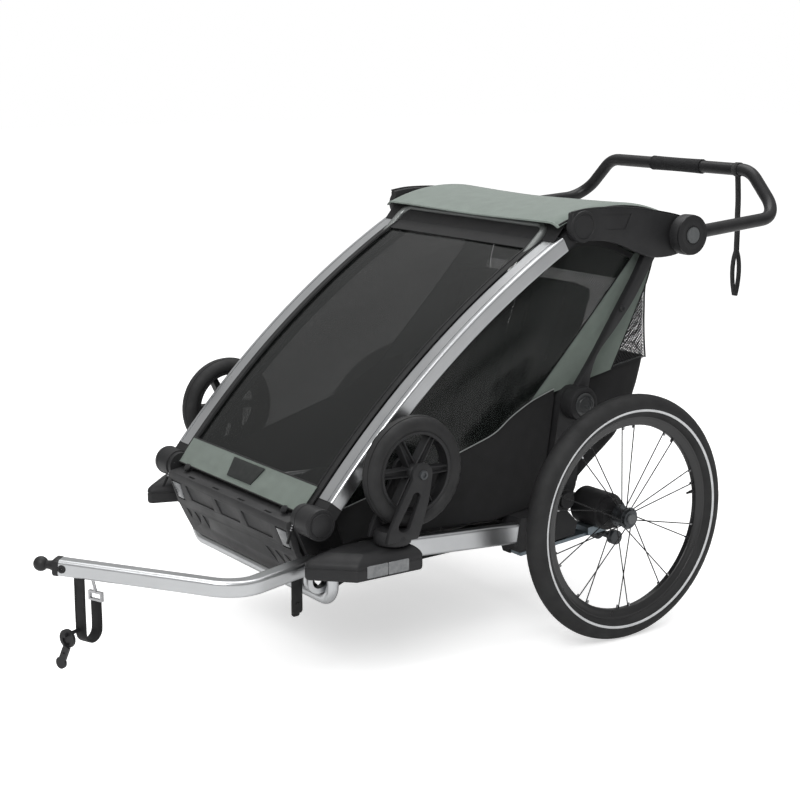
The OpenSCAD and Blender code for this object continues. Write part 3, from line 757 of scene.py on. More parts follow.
# %% Trailer rims
RIM_IN = 188
rim_section = [(RIM_IN, -4), (RIM_IN + 0.8, -6.4), (RIM_IN + 7, -8.6), (203, -10), (204, -11.6), (209, -12.2),
               (214.5, -11.8), (214.5, 11.8), (209, 12.2), (204, 11.6), (203, 10), (RIM_IN + 7, 8.6),
               (RIM_IN + 0.8, 6.4), (RIM_IN, 4)]
rim_left = turned("rim_shell_left", rim_section, (WHEEL_X, 0, WHEEL_Z), 144)
bevelled(rim_left, 0.6, 1, 30)
nipple = turned("nipple", [(0.2, -3.5), (1.7, -3.5), (2.1, -1), (2.3, 3.5), (0.2, 3.5)],
                (WHEEL_X, 0, WHEEL_Z + RIM_IN - 3), 8, (0, 0, 1))
nipples = []
for pair in range(10):
    for lean in (-1, 1):
        turn = about((WHEEL_X, 0, WHEEL_Z), "X", 180 + 36 * pair + lean * 4.4)
        nipples.append(copy_of(nipple, "nipple", turn @ Matrix.Translation((lean * 0.002, 0, 0))))
bpy.data.objects.remove(nipple)
nipples_left = joined(nipples, "spoke_nipples_left")
valve_left = turned("tyre_valve_left", [(0.3, -17), (2.2, -17), (2.6, -10), (3.2, -9), (3.2, 8), (0.3, 8)],
                    (WHEEL_X, 0, WHEEL_Z + RIM_IN - 2), 16, (0, 0, 1))
valve_left.data.transform(about((WHEEL_X, 0, WHEEL_Z), "X", -82))
for left, material, slot, nodes in ((rim_left, rim_metal, "rim_black", ["rim"]),
                                    (nipples_left, bright_steel, "pin_steel", []),
                                    (valve_left, strap_rubber, "strap_rubber", [])):
    right = mirror_copy(left, left.name.replace("left", "right"))
    for side, piece in (("left", left), ("right", right)):
        done(piece, material, f"wheel_{side}", slot, [f"{n}_{side}" for n in nodes])
print("rims:", len(nipples), "nipples on each")

# %% [markdown]
# The stroller tyre is smaller and has two grooves round its crown and blocks on its shoulders.
# Its plastic wheel has six spokes shaped as channels: each is a blade with a sunk face.

# %% Stroller wheels
CASTER_R = 105


def caster_section():
    half = [(75.5, 10), (76, 14), (80, 18.2), (88, 19.8), (95, 18), (100.5, 14), (102.6, 10), (103, 8.4),
            (101.4, 7.8), (101.4, 6.6), (103.6, 6), (104.6, 2)]
    return half + [(r, -x) for r, x in reversed(half)]


caster_left = turned("stroller_tyre_left", caster_section(), CASTER, 180)
press_sipes(caster_left, CASTER, 30, 38, 62, 84, 1.6, 0.5, 0.24)
done(caster_left, tyre_rubber, "stroller_wheel_left", "tyre_rubber", ["caster_tyre_left"], angle=50)
caster_right = mirror_copy(caster_left, "stroller_tyre_right")
done(caster_right, tyre_rubber, "stroller_wheel_right", "tyre_rubber", ["caster_tyre_right"], angle=50)


def channel_spoke():
    """One spoke pointing up: a tapered blade whose two faces are sunk."""
    x, y, z = CASTER
    outline = [(y - 8, z + 12), (y - 6, z + 74), (y + 6, z + 74), (y + 8, z + 12)]
    blade = plate("spoke_blade", outline, x - 11, x + 11)
    for side in (-1, 1):
        pocket(blade, lambda c, n: n.x * side > 0.9, 2.2, (-side * 7, 0, 0))
    return blade


wheel_pieces = [turned("wheel_barrel", [(70, -12), (71, -15), (77, -15.4), (77, 15.4), (71, 15), (70, 12),
                                        (72, 10), (72, -10)], CASTER, 96),
                turned("wheel_boss", [(5.2, -18), (13, -18), (16.5, -14), (17, -4), (17, 4), (16.5, 14), (13, 18),
                                      (5.2, 18)], CASTER, 40)]
blade = channel_spoke()
for turn in range(6):
    wheel_pieces.append(copy_of(blade, "blade", about(CASTER, "X", 60 * turn + 28)))
bpy.data.objects.remove(blade)
caster_wheel_left = joined(wheel_pieces, "stroller_wheel_web_left")
bevelled(caster_wheel_left, 0.8, 1)
caster_wheel_right = mirror_copy(caster_wheel_left, "stroller_wheel_web_right")
for side, piece in (("left", caster_wheel_left), ("right", caster_wheel_right)):
    done(piece, shell_plastic, f"stroller_wheel_{side}", "black_plastic", [f"caster_wheel_{side}"])
print("stroller wheels made")

# %% [markdown]
# A stroller fork is one moulding: a round foot that turns into two leaning arms with a slot, and a
# round top that carries the axle bolt. The foot is turned, the arms are cut from plate outlines.

# %% Stroller forks
def fork_arm(x0, x1):
    y, z = CASTER[1], CASTER[2]
    top = [(y + 22 * math.cos(math.radians(a)), z + 22 * math.sin(math.radians(a))) for a in range(-15, 196, 15)]
    outline = top + [(-548, 362), (-572, 316), (-578, 294), (-510, 294), (-500, 320), (-486, 362)]
    arm = plate("fork_arm", outline, x0, x1)
    slot_low, slot_high = (-540, 322), (-514, 372)
    ring = [(slot_low[0] + 13 * math.cos(math.radians(a)), slot_low[1] + 11 * math.sin(math.radians(a)))
            for a in range(165, 361, 15)]
    ring += [(slot_high[0] + 9 * math.cos(math.radians(a)), slot_high[1] + 9 * math.sin(math.radians(a)))
             for a in range(0, 181, 15)]
    cut(arm, plate("slot_cutter", ring, x0 - 5, x1 + 5))
    bevelled(arm, 2.2, 2, 30)
    return arm


cx = CASTER[0]
fork_parts = [fork_arm(cx + 24, cx + 34), fork_arm(cx - 34, cx - 24),
              turned("fork_foot", [(0.5, 0), (31, 0), (34, 2.5), (35, 10), (34, 20), (30, 27), (0.5, 28)],
                     (cx, -544, 284), 56, (0, 0, 1)),
              turned("fork_stem", [(0.5, 0), (11, 0), (11, 44), (0.5, 44)], (cx, -544, 242), 32, (0, 0, 1))]
fork_left = joined(fork_parts, "stroller_fork_left")
bolt_parts = [turned("axle_bolt", [(0.5, 34), (8.5, 34), (9, 35), (8, 38.5), (4.4, 38.5), (4, 36.2), (0.5, 36.2)],
                     CASTER, 24),
              turned("axle_pin", [(0.5, -36), (4.8, -36), (4.8, 35), (0.5, 35)], CASTER, 20)]
bolt_left = joined(bolt_parts, "fork_bolt_left")
for left, material, slot, nodes in ((fork_left, shell_plastic, "black_plastic", ["fork"]),
                                    (bolt_left, dark_steel, "dark_steel", [])):
    right = mirror_copy(left, left.name.replace("left", "right"))
    for side, piece in (("left", left), ("right", right)):
        done(piece, material, f"fork_{side}", slot, [f"{n}_{side}" for n in nodes])
print("forks made")

# %% [markdown]
# The cabin is a tent on a frame. Its cloth and film are grids laid between two boundary curves,
# with a slow ripple that fades out at the seams where the real cloth is held.

# %% Bench tools: cloth
FOOT_ANGLE = math.degrees(math.atan2(FRONT_HINGE[1] - PILLAR_C[1], FRONT_HINGE[0] - PILLAR_C[0]))
TOP_ANGLE = math.degrees(math.atan2(TOP_PIVOT[1] - PILLAR_C[1], TOP_PIVOT[0] - PILLAR_C[0]))
SKIN_X = 263


def held(u, v):
    """Nought at a sheet's edges and one in its middle."""
    return math.sin(math.pi * min(max(u, 0), 1)) ** 0.6 * math.sin(math.pi * min(max(v, 0), 1)) ** 0.6


def ripple(u, v, seed):
    """Long soft folds that run from corner to corner."""
    wave = math.sin(5.1 * u + 3.7 * v + seed) + 0.6 * math.sin(9.3 * u - 6.1 * v + 2.3 * seed)
    return wave + 0.4 * math.sin(17 * v + 4 * u + seed * 1.7)


def size_uv(piece, width, height):
    """Scales the grid's own UV map to metres."""
    for spot in piece.data.uv_layers[0].data:
        spot.uv = (spot.uv[0] * width / 1000, spot.uv[1] * height / 1000)


def between(low, high, x, amplitude=0.0, seed=0.0, belly=0.0):
    """Places a sheet between a lower and an upper side-view curve at x, with folds and a belly."""
    def place(u, v):
        p, q = along(low, u), along(high, u)
        y, z = p.x + (q.x - p.x) * v, p.y + (q.y - p.y) * v
        out = held(u, v) * (belly + amplitude * ripple(u, v, seed) / 2)
        return at(x + out, y, z)
    return place


def run(name, points, section, up=None):
    """Lofts a small section along a smooth row of frame points."""
    rings = []
    for i, p in enumerate(points):
        d = (points[min(i + 1, len(points) - 1)] - points[max(i - 1, 0)]).normalized()
        side, top = frame_of(d, up)
        rings.append([p + side * (a / 1000) + top * (b / 1000) for a, b in section])
    return loft(name, rings)


# %% [markdown]
# The roof is one green cloth stretched over the grey hoop in front and down to the side plates. It
# sags a little between them, and its front hem is turned under. It crosses the front hinge of the
# top frame; it is baked in place and rides on no frame body.

# %% Roof
ROOF_R, ROOF_C = 377, (34, 490)
ROOF_HALF = 290


def roof_place(lift=0.0, start=114.4, end=63.0):
    def place(u, v):
        x = (2 * u - 1) * ROOF_HALF
        a = math.radians(start + (end - start) * v)
        edge = abs(2 * u - 1)
        sag = -7 * (1 - edge ** 2) * math.sin(math.pi * v) ** 0.7 - 9 * max(0, (edge - 0.93) / 0.07) ** 2
        wave = 1.6 * math.sin(7 * u + 1) * (1 - v) ** 3 + 0.8 * held(u, v) * ripple(u, v, 2.0)
        r = ROOF_R + lift + sag + wave
        return at(x, ROOF_C[0] + r * math.cos(a), ROOF_C[1] + r * math.sin(a))
    return place


roof_shell = sheet("roof_shell", 44, 60, roof_place())
use_modifier(roof_shell, "SOLIDIFY", thickness=0.0014, offset=0)
hem_points = [roof_place()(i / 40, 0.012) for i in range(41)]
roof_hem = run("roof_hem", hem_points, rounded(5.5, 3.4, 1.5, 3))
far_edges = []
for u in (0.004, 0.996):
    edge_points = [roof_place()(u, 0.02 + 0.96 * i / 40) for i in range(41)]
    far_edges.append(run("roof_binding", edge_points, rounded(4, 5, 1.5, 3)))
roof_binding = joined(far_edges, "roof_side_binding")
for piece, material in ((roof_shell, roof_cloth), (roof_hem, roof_cloth), (roof_binding, border_cloth)):
    done(piece, material, slot="green_fabric", angle=60)
    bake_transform(piece)
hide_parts("roof", "roof_lip")

# %% [markdown]
# A grey tube hoop holds the roof's front edge and turns down inside the pillars. It is one bent
# tube with a flat foot riveted to each pillar.

# %% Front hoop
hoop_path = [at(-240, -168, 762), at(-240, -99, 826), at(240, -99, 826), at(240, -168, 762)]
hoop = tube("front_hoop_tube", hoop_path, circle(8.5, 20), 26, 8)
rivets = []
for side in (-1, 1):
    for angle in (119.2, 120.4, 124.5, 131, 137.5):
        y, z = on_pillar(angle, PILLAR_R - 17)
        rivets.append(turned("rivet", [(0.3, -1), (4, -1), (4, 0.2), (2.8, 1.6), (0.3, 2)],
                             (side * (HALF_W - 0.5), y, z), 16, (-side, 0, 0)))
hoop_rivets = joined(rivets, "hoop_rivets")
done(hoop, hoop_metal, "front_frame", "hoop_grey", ["front_hoop"], angle=40)
done(hoop_rivets, dark_steel, "front_frame", "dark_steel")
print("hoop and", len(rivets), "rivets")

# %% [markdown]
# The front cover is a smoky film between the pillars, zipped into black borders. The film is a
# grid on the pillars' bow; the borders are narrow bands along its sides and top.

# %% Front cover
def cover_place(half, start, end, lift, amplitude=0.0, seed=0.0):
    def place(u, v):
        out = lift + amplitude * held(u, v) * ripple(u, v, seed)
        y, z = on_pillar(start + (end - start) * v, PILLAR_R + out)
        return at((2 * u - 1) * half, y, z)
    return place


COVER_LOW, COVER_HIGH = FOOT_ANGLE - 0.5, TOP_ANGLE + 1.9
cover = sheet("front_cover_window", 60, 44, cover_place(238, COVER_LOW, COVER_HIGH, -3, 1.6, 1.0))
use_modifier(cover, "SOLIDIFY", thickness=0.0006, offset=0)
borders = []
for side in (-1, 1):
    def border_place(u, v, side=side):
        y, z = on_pillar(COVER_LOW + (COVER_HIGH - COVER_LOW) * v, PILLAR_R + 0.6)
        return at(side * (229 + 20.4 * u), y, z)
    borders.append(sheet("cover_border", 60, 3, border_place, 2.2))
borders.append(sheet("cover_border", 3, 40, cover_place(238, COVER_HIGH + 0.9, COVER_HIGH, 0.2), 2.0))
head_low, head_high = [on_pillar(COVER_HIGH, PILLAR_R)] * 2, [(-93, 836)] * 2
borders.append(sheet("cover_head", 8, 40, lambda u, v: between(head_low, head_high, 0)(0, v)
                     + Vector(((2 * u - 1) * 0.286, 0, 0)), 1.4))
cover_border = joined(borders, "front_cover_border")
zips = []
for side in (-1, 1):
    line = [at(side * 233, *on_pillar(COVER_LOW + (COVER_HIGH - COVER_LOW) * i / 60, PILLAR_R + 2.2))
            for i in range(61)]
    zips.append(run("cover_zip", line, rounded(4.2, 2, 0.9, 2)))
cover_zip = joined(zips, "front_cover_zips")
done(cover, cover_film, "front_frame", "cover_window", ["front_cover"], angle=60)
done(cover_border, border_cloth, "front_frame", "skirt_fabric", angle=60)
done(cover_zip, strap_rubber, "front_frame", "strap_rubber")

# %% [markdown]
# A green cloth band closes the foot of the cover. It has thin black hems, and in its middle a
# raised rubber patch, which stays blank. Two elastic knobs hold its lower corners.

# %% Green band
BAND_LOW, BAND_HIGH = FOOT_ANGLE - 0.12, FOOT_ANGLE - 1.88


def band_place(half, low, high, lift):
    def place(u, v):
        y, z = on_pillar(low + (high - low) * v, PILLAR_R + lift + 0.7 * held(u, v) * ripple(u, v, 4.0))
        return at((2 * u - 1) * (half + 2 * v), y, z)
    return place


front_band = sheet("front_green_band", 12, 48, band_place(236, BAND_LOW, BAND_HIGH, 5))
use_modifier(front_band, "SOLIDIFY", thickness=0.0014, offset=0)
hems = []
for v in (0.0, 1.0):
    line = [band_place(236, BAND_LOW, BAND_HIGH, 5)(i / 30, v) for i in range(31)]
    hems.append(run("band_hem", line, rounded(3.2, 2.6, 1, 2)))
band_hems = joined(hems, "front_band_hems")


def patch_place(u, v):
    half = 46 + 13 * v
    y, z = on_pillar(BAND_LOW + (BAND_HIGH - BAND_LOW) * (0.20 + 0.68 * v), PILLAR_R + 7.4)
    return at((2 * u - 1) * half, y, z)


front_patch = sheet("front_band_patch", 4, 12, patch_place, 2.2)
bevelled(front_patch, 0.7, 2, 50)
knobs = []
for side in (-1, 1):
    y, z = on_pillar(BAND_LOW - 0.05, PILLAR_R + 8)
    knobs.append(turned("knob", [(0.4, -9), (4, -9), (4, -3), (7.5, -2), (8.5, 1), (7, 4), (0.4, 5)],
                        (side * 190, y - 4, z - 6), 20, (0, -0.8, 0.6)))
band_knobs = joined(knobs, "front_band_knobs")
done(front_band, shaded_green_cloth, "front_frame", "green_fabric", ["cover_band"], angle=60)
done(band_hems, border_cloth, "front_frame", "skirt_fabric")
done(front_patch, badge_rubber, "front_frame", "strap_rubber")
done(band_knobs, shell_plastic, "front_frame", "black_plastic")

# %% [markdown]
# Each zip ends in a pull: a short row of metal beads and a moulded rubber tab, which hang from the
# lower corner of the cover.

# %% Zip pulls
pulls, tabs = [], []
for side in (-1, 1):
    y, z = on_pillar(FOOT_ANGLE + 0.1, PILLAR_R + 9)
    top = Vector((side * 238, y - 4, z + 2))
    for bead in range(7):
        spot = top + Vector((side * 0.7, -1.9, -4.3)) * bead
        pulls.append(turned("bead", [(0.2, -2), (1.7, -1.5), (2.3, 0), (1.7, 1.5), (0.2, 2)], spot, 10, (0, 0, 1)))
    tail = [at(*(top + Vector((side * 0.7, -1.9, -4.3)) * s)) for s in (7, 8.5, 10, 11.5)]
    tabs.append(run("pull_tab", tail, rounded(5.5, 3.2, 1.4, 3)))
zip_beads, zip_tabs = joined(pulls, "zip_pull_beads"), joined(tabs, "zip_pull_tabs")
done(zip_beads, bright_steel, "front_frame", "pin_steel")
done(zip_tabs, strap_rubber, "front_frame", "strap_rubber")
print("zip pulls:", len(pulls), "beads")

# %% [markdown]
# The cabin's side is in two pieces. The lower skirt is coated black cloth on the base frame, with a
# thin reflective piping along its top. The upper piece is a smoky film between the piping and the
# pillar. It rides on the base frame.

# %% Side skirts and windows
PIPING = [(-620, 334), (-546, 351), (-464, 370), (-382, 393), (-297, 417), (-246, 434), (-205, 461), (-160, 484)]
SKIRT_LOW = [(-598, 270), (-560, 275), (-480, 271), (-400, 267), (-320, 263), (-250, 259), (-200, 264),
             (-152, 270)]
under = [on_pillar(FOOT_ANGLE - 1.2 - (FOOT_ANGLE - TOP_ANGLE - 2.0) * i / 6, PILLAR_R - 33) for i in range(7)]
WINDOW_HIGH = under[:6] + [under[6], (-30, 798), (40, 787), (105, 758)]
skirt_right_edge = [(-152, 270), (-121, 330), (-98, 480), (-98, 503)]

for side, k in (("left", 1), ("right", -1)):
    skirt = sheet(f"side_skirt_{side}", 26, 60, between(SKIRT_LOW, PIPING, SKIN_X, 2.0, 0.5, 1.0))
    gusset_low = [(-152, 270), (-121, 330), (-98, 480)]
    gusset_high = [(-160, 484), (-128, 495), (-98, 503)]
    gusset = sheet("skirt_gusset", 14, 14, between(gusset_low, gusset_high, SKIN_X, 0.4))
    skirt = joined([skirt, gusset], f"side_skirt_{side}")
    use_modifier(skirt, "SOLIDIFY", thickness=0.0016, offset=0)
    line = [at(SKIN_X + 1.4, *along(PIPING + [(-128, 495), (-98, 504)], i / 70)) for i in range(71)]
    piping = run(f"skirt_piping_{side}", line, circle(1.2, 8))
    window = sheet(f"side_window_{side}", 40, 70, between(PIPING, WINDOW_HIGH, SKIN_X - 0.5, 5.0, 2.2, 3.0))
    use_modifier(window, "SOLIDIFY", thickness=0.0006, offset=0)
    inner = [(y, z) for y, z in WINDOW_HIGH]
    low_edge = [(y + 9, z - 13) for y, z in WINDOW_HIGH[:7]] + [(-30, 785), (36, 775), (98, 750)]
    border = sheet(f"window_border_{side}", 3, 60, between(low_edge, inner, SKIN_X + 0.6), 1.6)
    for piece in (skirt, piping, window, border):
        if k < 0:
            piece.data.transform(Matrix.Scale(-1, 4, (1, 0, 0)))
            piece.data.flip_normals()
    done(skirt, black_cloth, "chassis", "skirt_fabric", angle=60)
    done(piping, piping_cloth, "chassis", "reflector")
    for piece, material in ((window, side_film), (border, border_cloth)):
        done(piece, material, slot="clear_window", angle=60)
        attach(piece, "chassis")
        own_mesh(piece)
    if side == "right":
        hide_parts("side_windows")
        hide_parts("side_skirts")

# %% [markdown]
# Behind the windows the cabin's side goes on as a green quarter panel and then a black mesh. Both
# are baked in place and ride on no frame body.

# %% Rear quarters and side mesh
QUARTER_FRONT = [(-160, 484), (-70, 575), (20, 668), (105, 757)]
QUARTER_REAR = [(55, 526), (88, 588), (120, 648), (146, 700), (168, 768)]
MESH_REAR = [(151, 541), (146, 590), (144, 645), (146, 696), (168, 768)]


def follows_legs(piece):
    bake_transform(piece)


for side, k in (("left", 1), ("right", -1)):
    quarter = sheet(f"rear_quarter_{side}", 20, 44, between(QUARTER_FRONT, QUARTER_REAR, SKIN_X - 2.5, 2.5, 3.0, 1.0))
    mesh = sheet(f"side_mesh_{side}", 12, 40, between(QUARTER_REAR, MESH_REAR, SKIN_X - 4.5, 1.2, 1.4))
    size_uv(mesh, 260, 90)
    use_modifier(quarter, "SOLIDIFY", thickness=0.0014, offset=0)
    use_modifier(mesh, "SOLIDIFY", thickness=0.0008, offset=0)
    seams = []
    for curve, lift in ((QUARTER_FRONT, -1.4), (QUARTER_REAR, -2), (MESH_REAR, -4.5)):
        line = [at(SKIN_X + lift, *along(curve, i / 40)) for i in range(41)]
        seams.append(run("quarter_seam", line, rounded(3.4, 2.4, 1, 2)))
    seam = joined(seams, f"quarter_seams_{side}")
    for piece in (quarter, mesh, seam):
        if k < 0:
            piece.data.transform(Matrix.Scale(-1, 4, (1, 0, 0)))
            piece.data.flip_normals()
    done(quarter, shaded_green_cloth, slot="green_fabric", angle=60)
    done(mesh, rear_mesh, slot="mesh_fabric", angle=60)
    done(seam, border_cloth, slot="skirt_fabric", angle=60)
    for piece in (quarter, mesh, seam):
        follows_legs(piece)
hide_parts("rear_quarters")

# %% [markdown]
# The back of the cabin is one wide mesh with a green strip over it and bound edges.

# %% Back panel
BACK_LINE = MESH_REAR[:4] + [(172, 775), (199, 823)]


def back_place(low, high, out=0.0):
    def place(u, v):
        spot = along(BACK_LINE, low + (high - low) * v)
        x = (2 * u - 1) * 252
        bulge = 5 * math.sin(math.pi * u) ** 0.7 * math.sin(math.pi * v) + out
        return at(x, spot.x + bulge, spot.y)
    return place


back_mesh = sheet("back_mesh", 26, 50, back_place(0, 0.6))
size_uv(back_mesh, 510, 165)
use_modifier(back_mesh, "SOLIDIFY", thickness=0.0008, offset=0)
back_strip = sheet("back_green_strip", 12, 50, back_place(0.6, 1.0))
use_modifier(back_strip, "SOLIDIFY", thickness=0.0014, offset=0)
bindings = []
for level in (0.0, 0.6, 1.0):
    line = [back_place(level, level, 0.6)(i / 40, 0.5) for i in range(41)]
    bindings.append(run("back_binding", line, rounded(4.2, 2.8, 1.2, 2)))
back_binding = joined(bindings, "back_bindings")
done(back_mesh, rear_mesh, slot="mesh_fabric", stands_for=["back_panel"], angle=60)
done(back_strip, shaded_green_cloth, slot="green_fabric", angle=60)
done(back_binding, border_cloth, slot="skirt_fabric", angle=60)
for piece in (back_mesh, back_strip, back_binding):
    follows_legs(piece)

# %% [markdown]
# The luggage bag hangs below it: one black wall that runs back along one side, round a soft corner,
# across the back and forward again. It bellies out between its seams and has a reflective piping
# along its top. Two straps with side-release buckles close it.

# %% Rear bag
BAG_REAR = [(-28, 302), (4, 327), (60, 370), (97, 406), (134, 476), (153, 543)]
BAG_FRONT = [(-34, 302), (-28, 350), (-20, 420), (-15, 470), (-15, 500), (-14, 519)]


def bag_place(u, v):
    """u runs round the bag from the left front edge to the right front edge, v from floor to piping."""
    rear, front = along(BAG_REAR, v), along(BAG_FRONT, v)
    depth, corner, half = max(rear.x - front.x - 12, 4), 12, 254
    walls = [depth, corner * 1.57, 2 * (half - corner), corner * 1.57, depth]
    s = u * sum(walls)
    z = front.y + (rear.y - front.y) * min(1, s / depth, (sum(walls) - s) / depth)
    fold = 1.6 * held(u, v) * ripple(8 * u, v, 1.0)
    if s < walls[0]:
        return at(half + fold, front.x + (depth + 0.0) * s / walls[0], z)
    s -= walls[0]
    if s < walls[1]:
        a = s / corner
        return at(half - corner + (corner + fold) * math.cos(a), front.x + depth + (corner + fold) * math.sin(a), z)
    s -= walls[1]
    if s < walls[2]:
        belly = 7 * math.sin(math.pi * s / walls[2]) ** 0.6 * math.sin(math.pi * v) ** 0.8
        return at(half - corner - s, front.x + depth + corner + belly + fold, z)
    s -= walls[2]
    if s < walls[3]:
        a = s / corner
        return at(-half + corner - (corner + fold) * math.sin(a), front.x + depth + (corner + fold) * math.cos(a), z)
    s -= walls[3]
    return at(-half - fold, front.x + depth * (1 - s / walls[4]), z)


bag = sheet("luggage_bag", 30, 150, bag_place)
use_modifier(bag, "SOLIDIFY", thickness=0.0016, offset=0)
rim_line = [bag_place(i / 120, 1.0) for i in range(121)]
bag_piping = run("bag_piping", rim_line, circle(1.7, 8), Vector((0, 0, 1)))
low_line = [bag_place(i / 120, 0.52) + Vector((0, 0.0012, 0)) for i in range(20, 101)]
bag_seam = run("bag_seam", low_line, rounded(2, 3.4, 0.8, 2), Vector((0, 0, 1)))
straps, buckles = [], []
for k in (-1, 1):
    u0 = 0.5 - k * 0.17
    line = [bag_place(u0, 0.12 + 0.86 * i / 30) + Vector((0, 0.0022, 0)) for i in range(31)]
    straps.append(run("bag_strap", line, rounded(19, 1.5, 0.6, 2), Vector((0, 1, 0.2)).normalized()))
    middle = bag_place(u0, 0.66) + Vector((0, 0.006, 0))
    for part, (w, h, dz) in enumerate(((24, 20, -11), (20, 14, 9))):
        rings = [[middle + Vector((a / 1000, y / 1000, (dz + b) / 1000)) for a, b in rounded(w - s, h - s, 4 - s / 2, 4)]
                 for y, s in ((-3, 0), (2.2, 0), (3.6, 1.4), (4, 3.4))]
        buckles.append(loft("buckle", rings))
bag_straps, bag_buckles = joined(straps, "bag_straps"), joined(buckles, "bag_buckles")
done(bag, black_cloth, slot="skirt_fabric", stands_for=["rear_bag"], angle=60)
done(bag_piping, piping_cloth, slot="reflector")
done(bag_seam, border_cloth, slot="skirt_fabric")
done(bag_straps, webbing, slot="webbing")
done(bag_buckles, shell_plastic, slot="black_plastic")
for piece in (bag, bag_piping, bag_seam, bag_straps, bag_buckles):
    follows_legs(piece)

# %% [markdown]
# Each side plate is a moulding with a large soft edge. It carries a shallow blank recess, a round
# pivot boss at its front and, behind it, the stepped hub of the handlebar.

# %% Side plates
PLATE_X = HALF_W + 42
TOP_EDGE = [(-96, 856), (-60, 860.5), (-18, 861), (30, 859), (80, 854), (130, 846), (180, 836), (210, 826)]
LOW_EDGE = [(226, 800), (214, 774), (190, 758), (150, 753), (112, 756), (70, 770), (20, 789), (-20, 797)]


def smooth_row(points, count):
    return [tuple(along(points, i / count)) for i in range(count + 1)]


nose = [(TOP_PIVOT[0] + 32 * math.cos(math.radians(a)), TOP_PIVOT[1] + 32 * math.sin(math.radians(a)))
        for a in range(295, 149, -12)]
outline = smooth_row(TOP_EDGE, 22) + [(222, 815)] + smooth_row(LOW_EDGE, 22) + nose
top_plate = plate("side_plate_left", outline, PLATE_X, PLATE_X + 16)
bevelled(top_plate, 3.4, 3, 50)
recess = plate("recess_cutter", [(-22, 849), (56, 846), (40, 816), (-8, 818)], PLATE_X + 14.6, PLATE_X + 20)
cut(top_plate, recess)
ring = turned("plate_boss", [(0.5, 15), (31, 15), (31.4, 16.6), (30.4, 18.4), (25.4, 18.6), (24.4, 16.8), (23, 16.6),
                             (22, 17.4), (0.5, 17.6)], (PLATE_X, *TOP_PIVOT), 64)
hinge_block = turned("leg_hinge_boss", [(0.5, -22), (12, -22), (13, -21), (13, -17), (6, -17), (6, 1), (0.5, 1)],
                     (PLATE_X, *LEG_HINGE), 32)
lip = run("plate_lip", [at(PLATE_X + 12.5, y, z + 1) for y, z in smooth_row(TOP_EDGE, 40)], rounded(5, 3, 1.2, 2))
plates = joined([top_plate, ring, hinge_block, lip], "side_plate_left")
plate_right = mirror_copy(plates, "side_plate_right")
done(plates, shell_plastic, "top_frame", "black_plastic", ["top_plates"], angle=28)
done(plate_right, shell_plastic, "top_frame", "black_plastic", angle=28)

hub_profile = [(16.6, 24), (38.5, 24), (40.6, 25.4), (40.9, 34), (40.9, 44), (39.4, 47.6), (36, 49.2), (31.6, 49.6),
               (30.8, 48.4), (29.4, 48.4), (28.6, 50.2), (20, 50.6), (18.4, 49), (16.6, 49)]
shell_left = turned("handle_hub_left", hub_profile, (PLATE_X, *BAR_HINGE), 80)
shell_right = mirror_copy(shell_left, "handle_hub_right")
for piece in (shell_left, shell_right):
    done(piece, shell_plastic, "handlebar", "black_plastic", angle=40)
print("side plates and handle hubs made")

# %% [markdown]
# The grip is a soft wrap over the crossbar: two collars, a slightly waisted middle and a fine
# moulded pattern. The rear leg is a bar with broad chamfers that ends in a round cap with a lens.

# %% Grip and rear legs
grip_rows = [(13.4, -78), (15.8, -78), (16.2, -77), (16.2, -73), (15.3, -72.4), (15.3, -70.6), (15.9, -70)]
waist = [(15.9 - 0.5 * math.sin(math.pi * i / 12), -70 + 140 * i / 12) for i in range(1, 12)]
grip_profile = grip_rows + waist + [(r, -x) for r, x in reversed(grip_rows)]
grip = turned("handlebar_grip_wrap", grip_profile, (0, 478, 908), 48)
done(grip, grip_rubber, "handlebar", "grip_foam", ["handlebar_grip"], angle=40)

LEG_X = HALF_W + 25
leg_front = [(-88, 480), (-66, 503), (-20, 562), (40, 648), (94, 727), (120, 776), (138, 800)]
leg_rear = [(184, 790), (160, 772), (140, 752), (117, 717), (85, 670), (40, 618), (-10, 565), (-30, 505), (-26, 478)]
leg_outline = smooth_row(leg_front, 24) + smooth_row(leg_rear, 28)
leg = plate("rear_leg_left", leg_outline, LEG_X, LEG_X + 16)
bevelled(leg, 5.2, 2, 40)
cap = turned("leg_cap", [(6, 0), (33, 0), (34.6, 2), (34.9, 16), (34.9, 28), (33.6, 32.4), (30.6, 34), (24.4, 34.2),
                         (23.6, 32.6), (6, 32.6)], (LEG_X, *LEG_JOINT), 72)
head = turned("leg_hinge_eye", [(10, 0.5), (22.6, 0.5), (24, 2), (24, 14), (22.6, 15.5), (10, 15.5)],
              (LEG_X, *LEG_HINGE), 48)
screw = turned("leg_screw", [(0.4, 15), (7, 15), (7, 18.6), (6, 20), (3.4, 20), (2.9, 18.6), (0.4, 18.6)],
               (LEG_X, 52, 655), 28)
leg_left = joined([leg, cap, head, screw], "rear_leg_left")
lens_left = turned("leg_lens_left", [(0.4, 32), (23.2, 32), (23.2, 35), (21.4, 36.2), (17, 36.4), (16.4, 35.4),
                                     (15, 35.4), (14.2, 36.2), (0.4, 36.4)], (LEG_X, *LEG_JOINT), 64)
leg_right, lens_right = mirror_copy(leg_left, "rear_leg_right"), mirror_copy(lens_left, "leg_lens_right")
done(leg_left, shell_plastic, "rear_frame", "black_plastic", ["rear_legs"], angle=30)
done(leg_right, shell_plastic, "rear_frame", "black_plastic", angle=30)
for piece in (lens_left, lens_right):
    done(piece, lens_plastic, "rear_frame", "black_plastic", angle=40)
print("grip and rear legs made")

# %% [markdown]
# Round caps close the pillars' lower hinges. Under them, the front corners are rounded pods with a
# parting groove, a reflector on the outer side and a foot below.

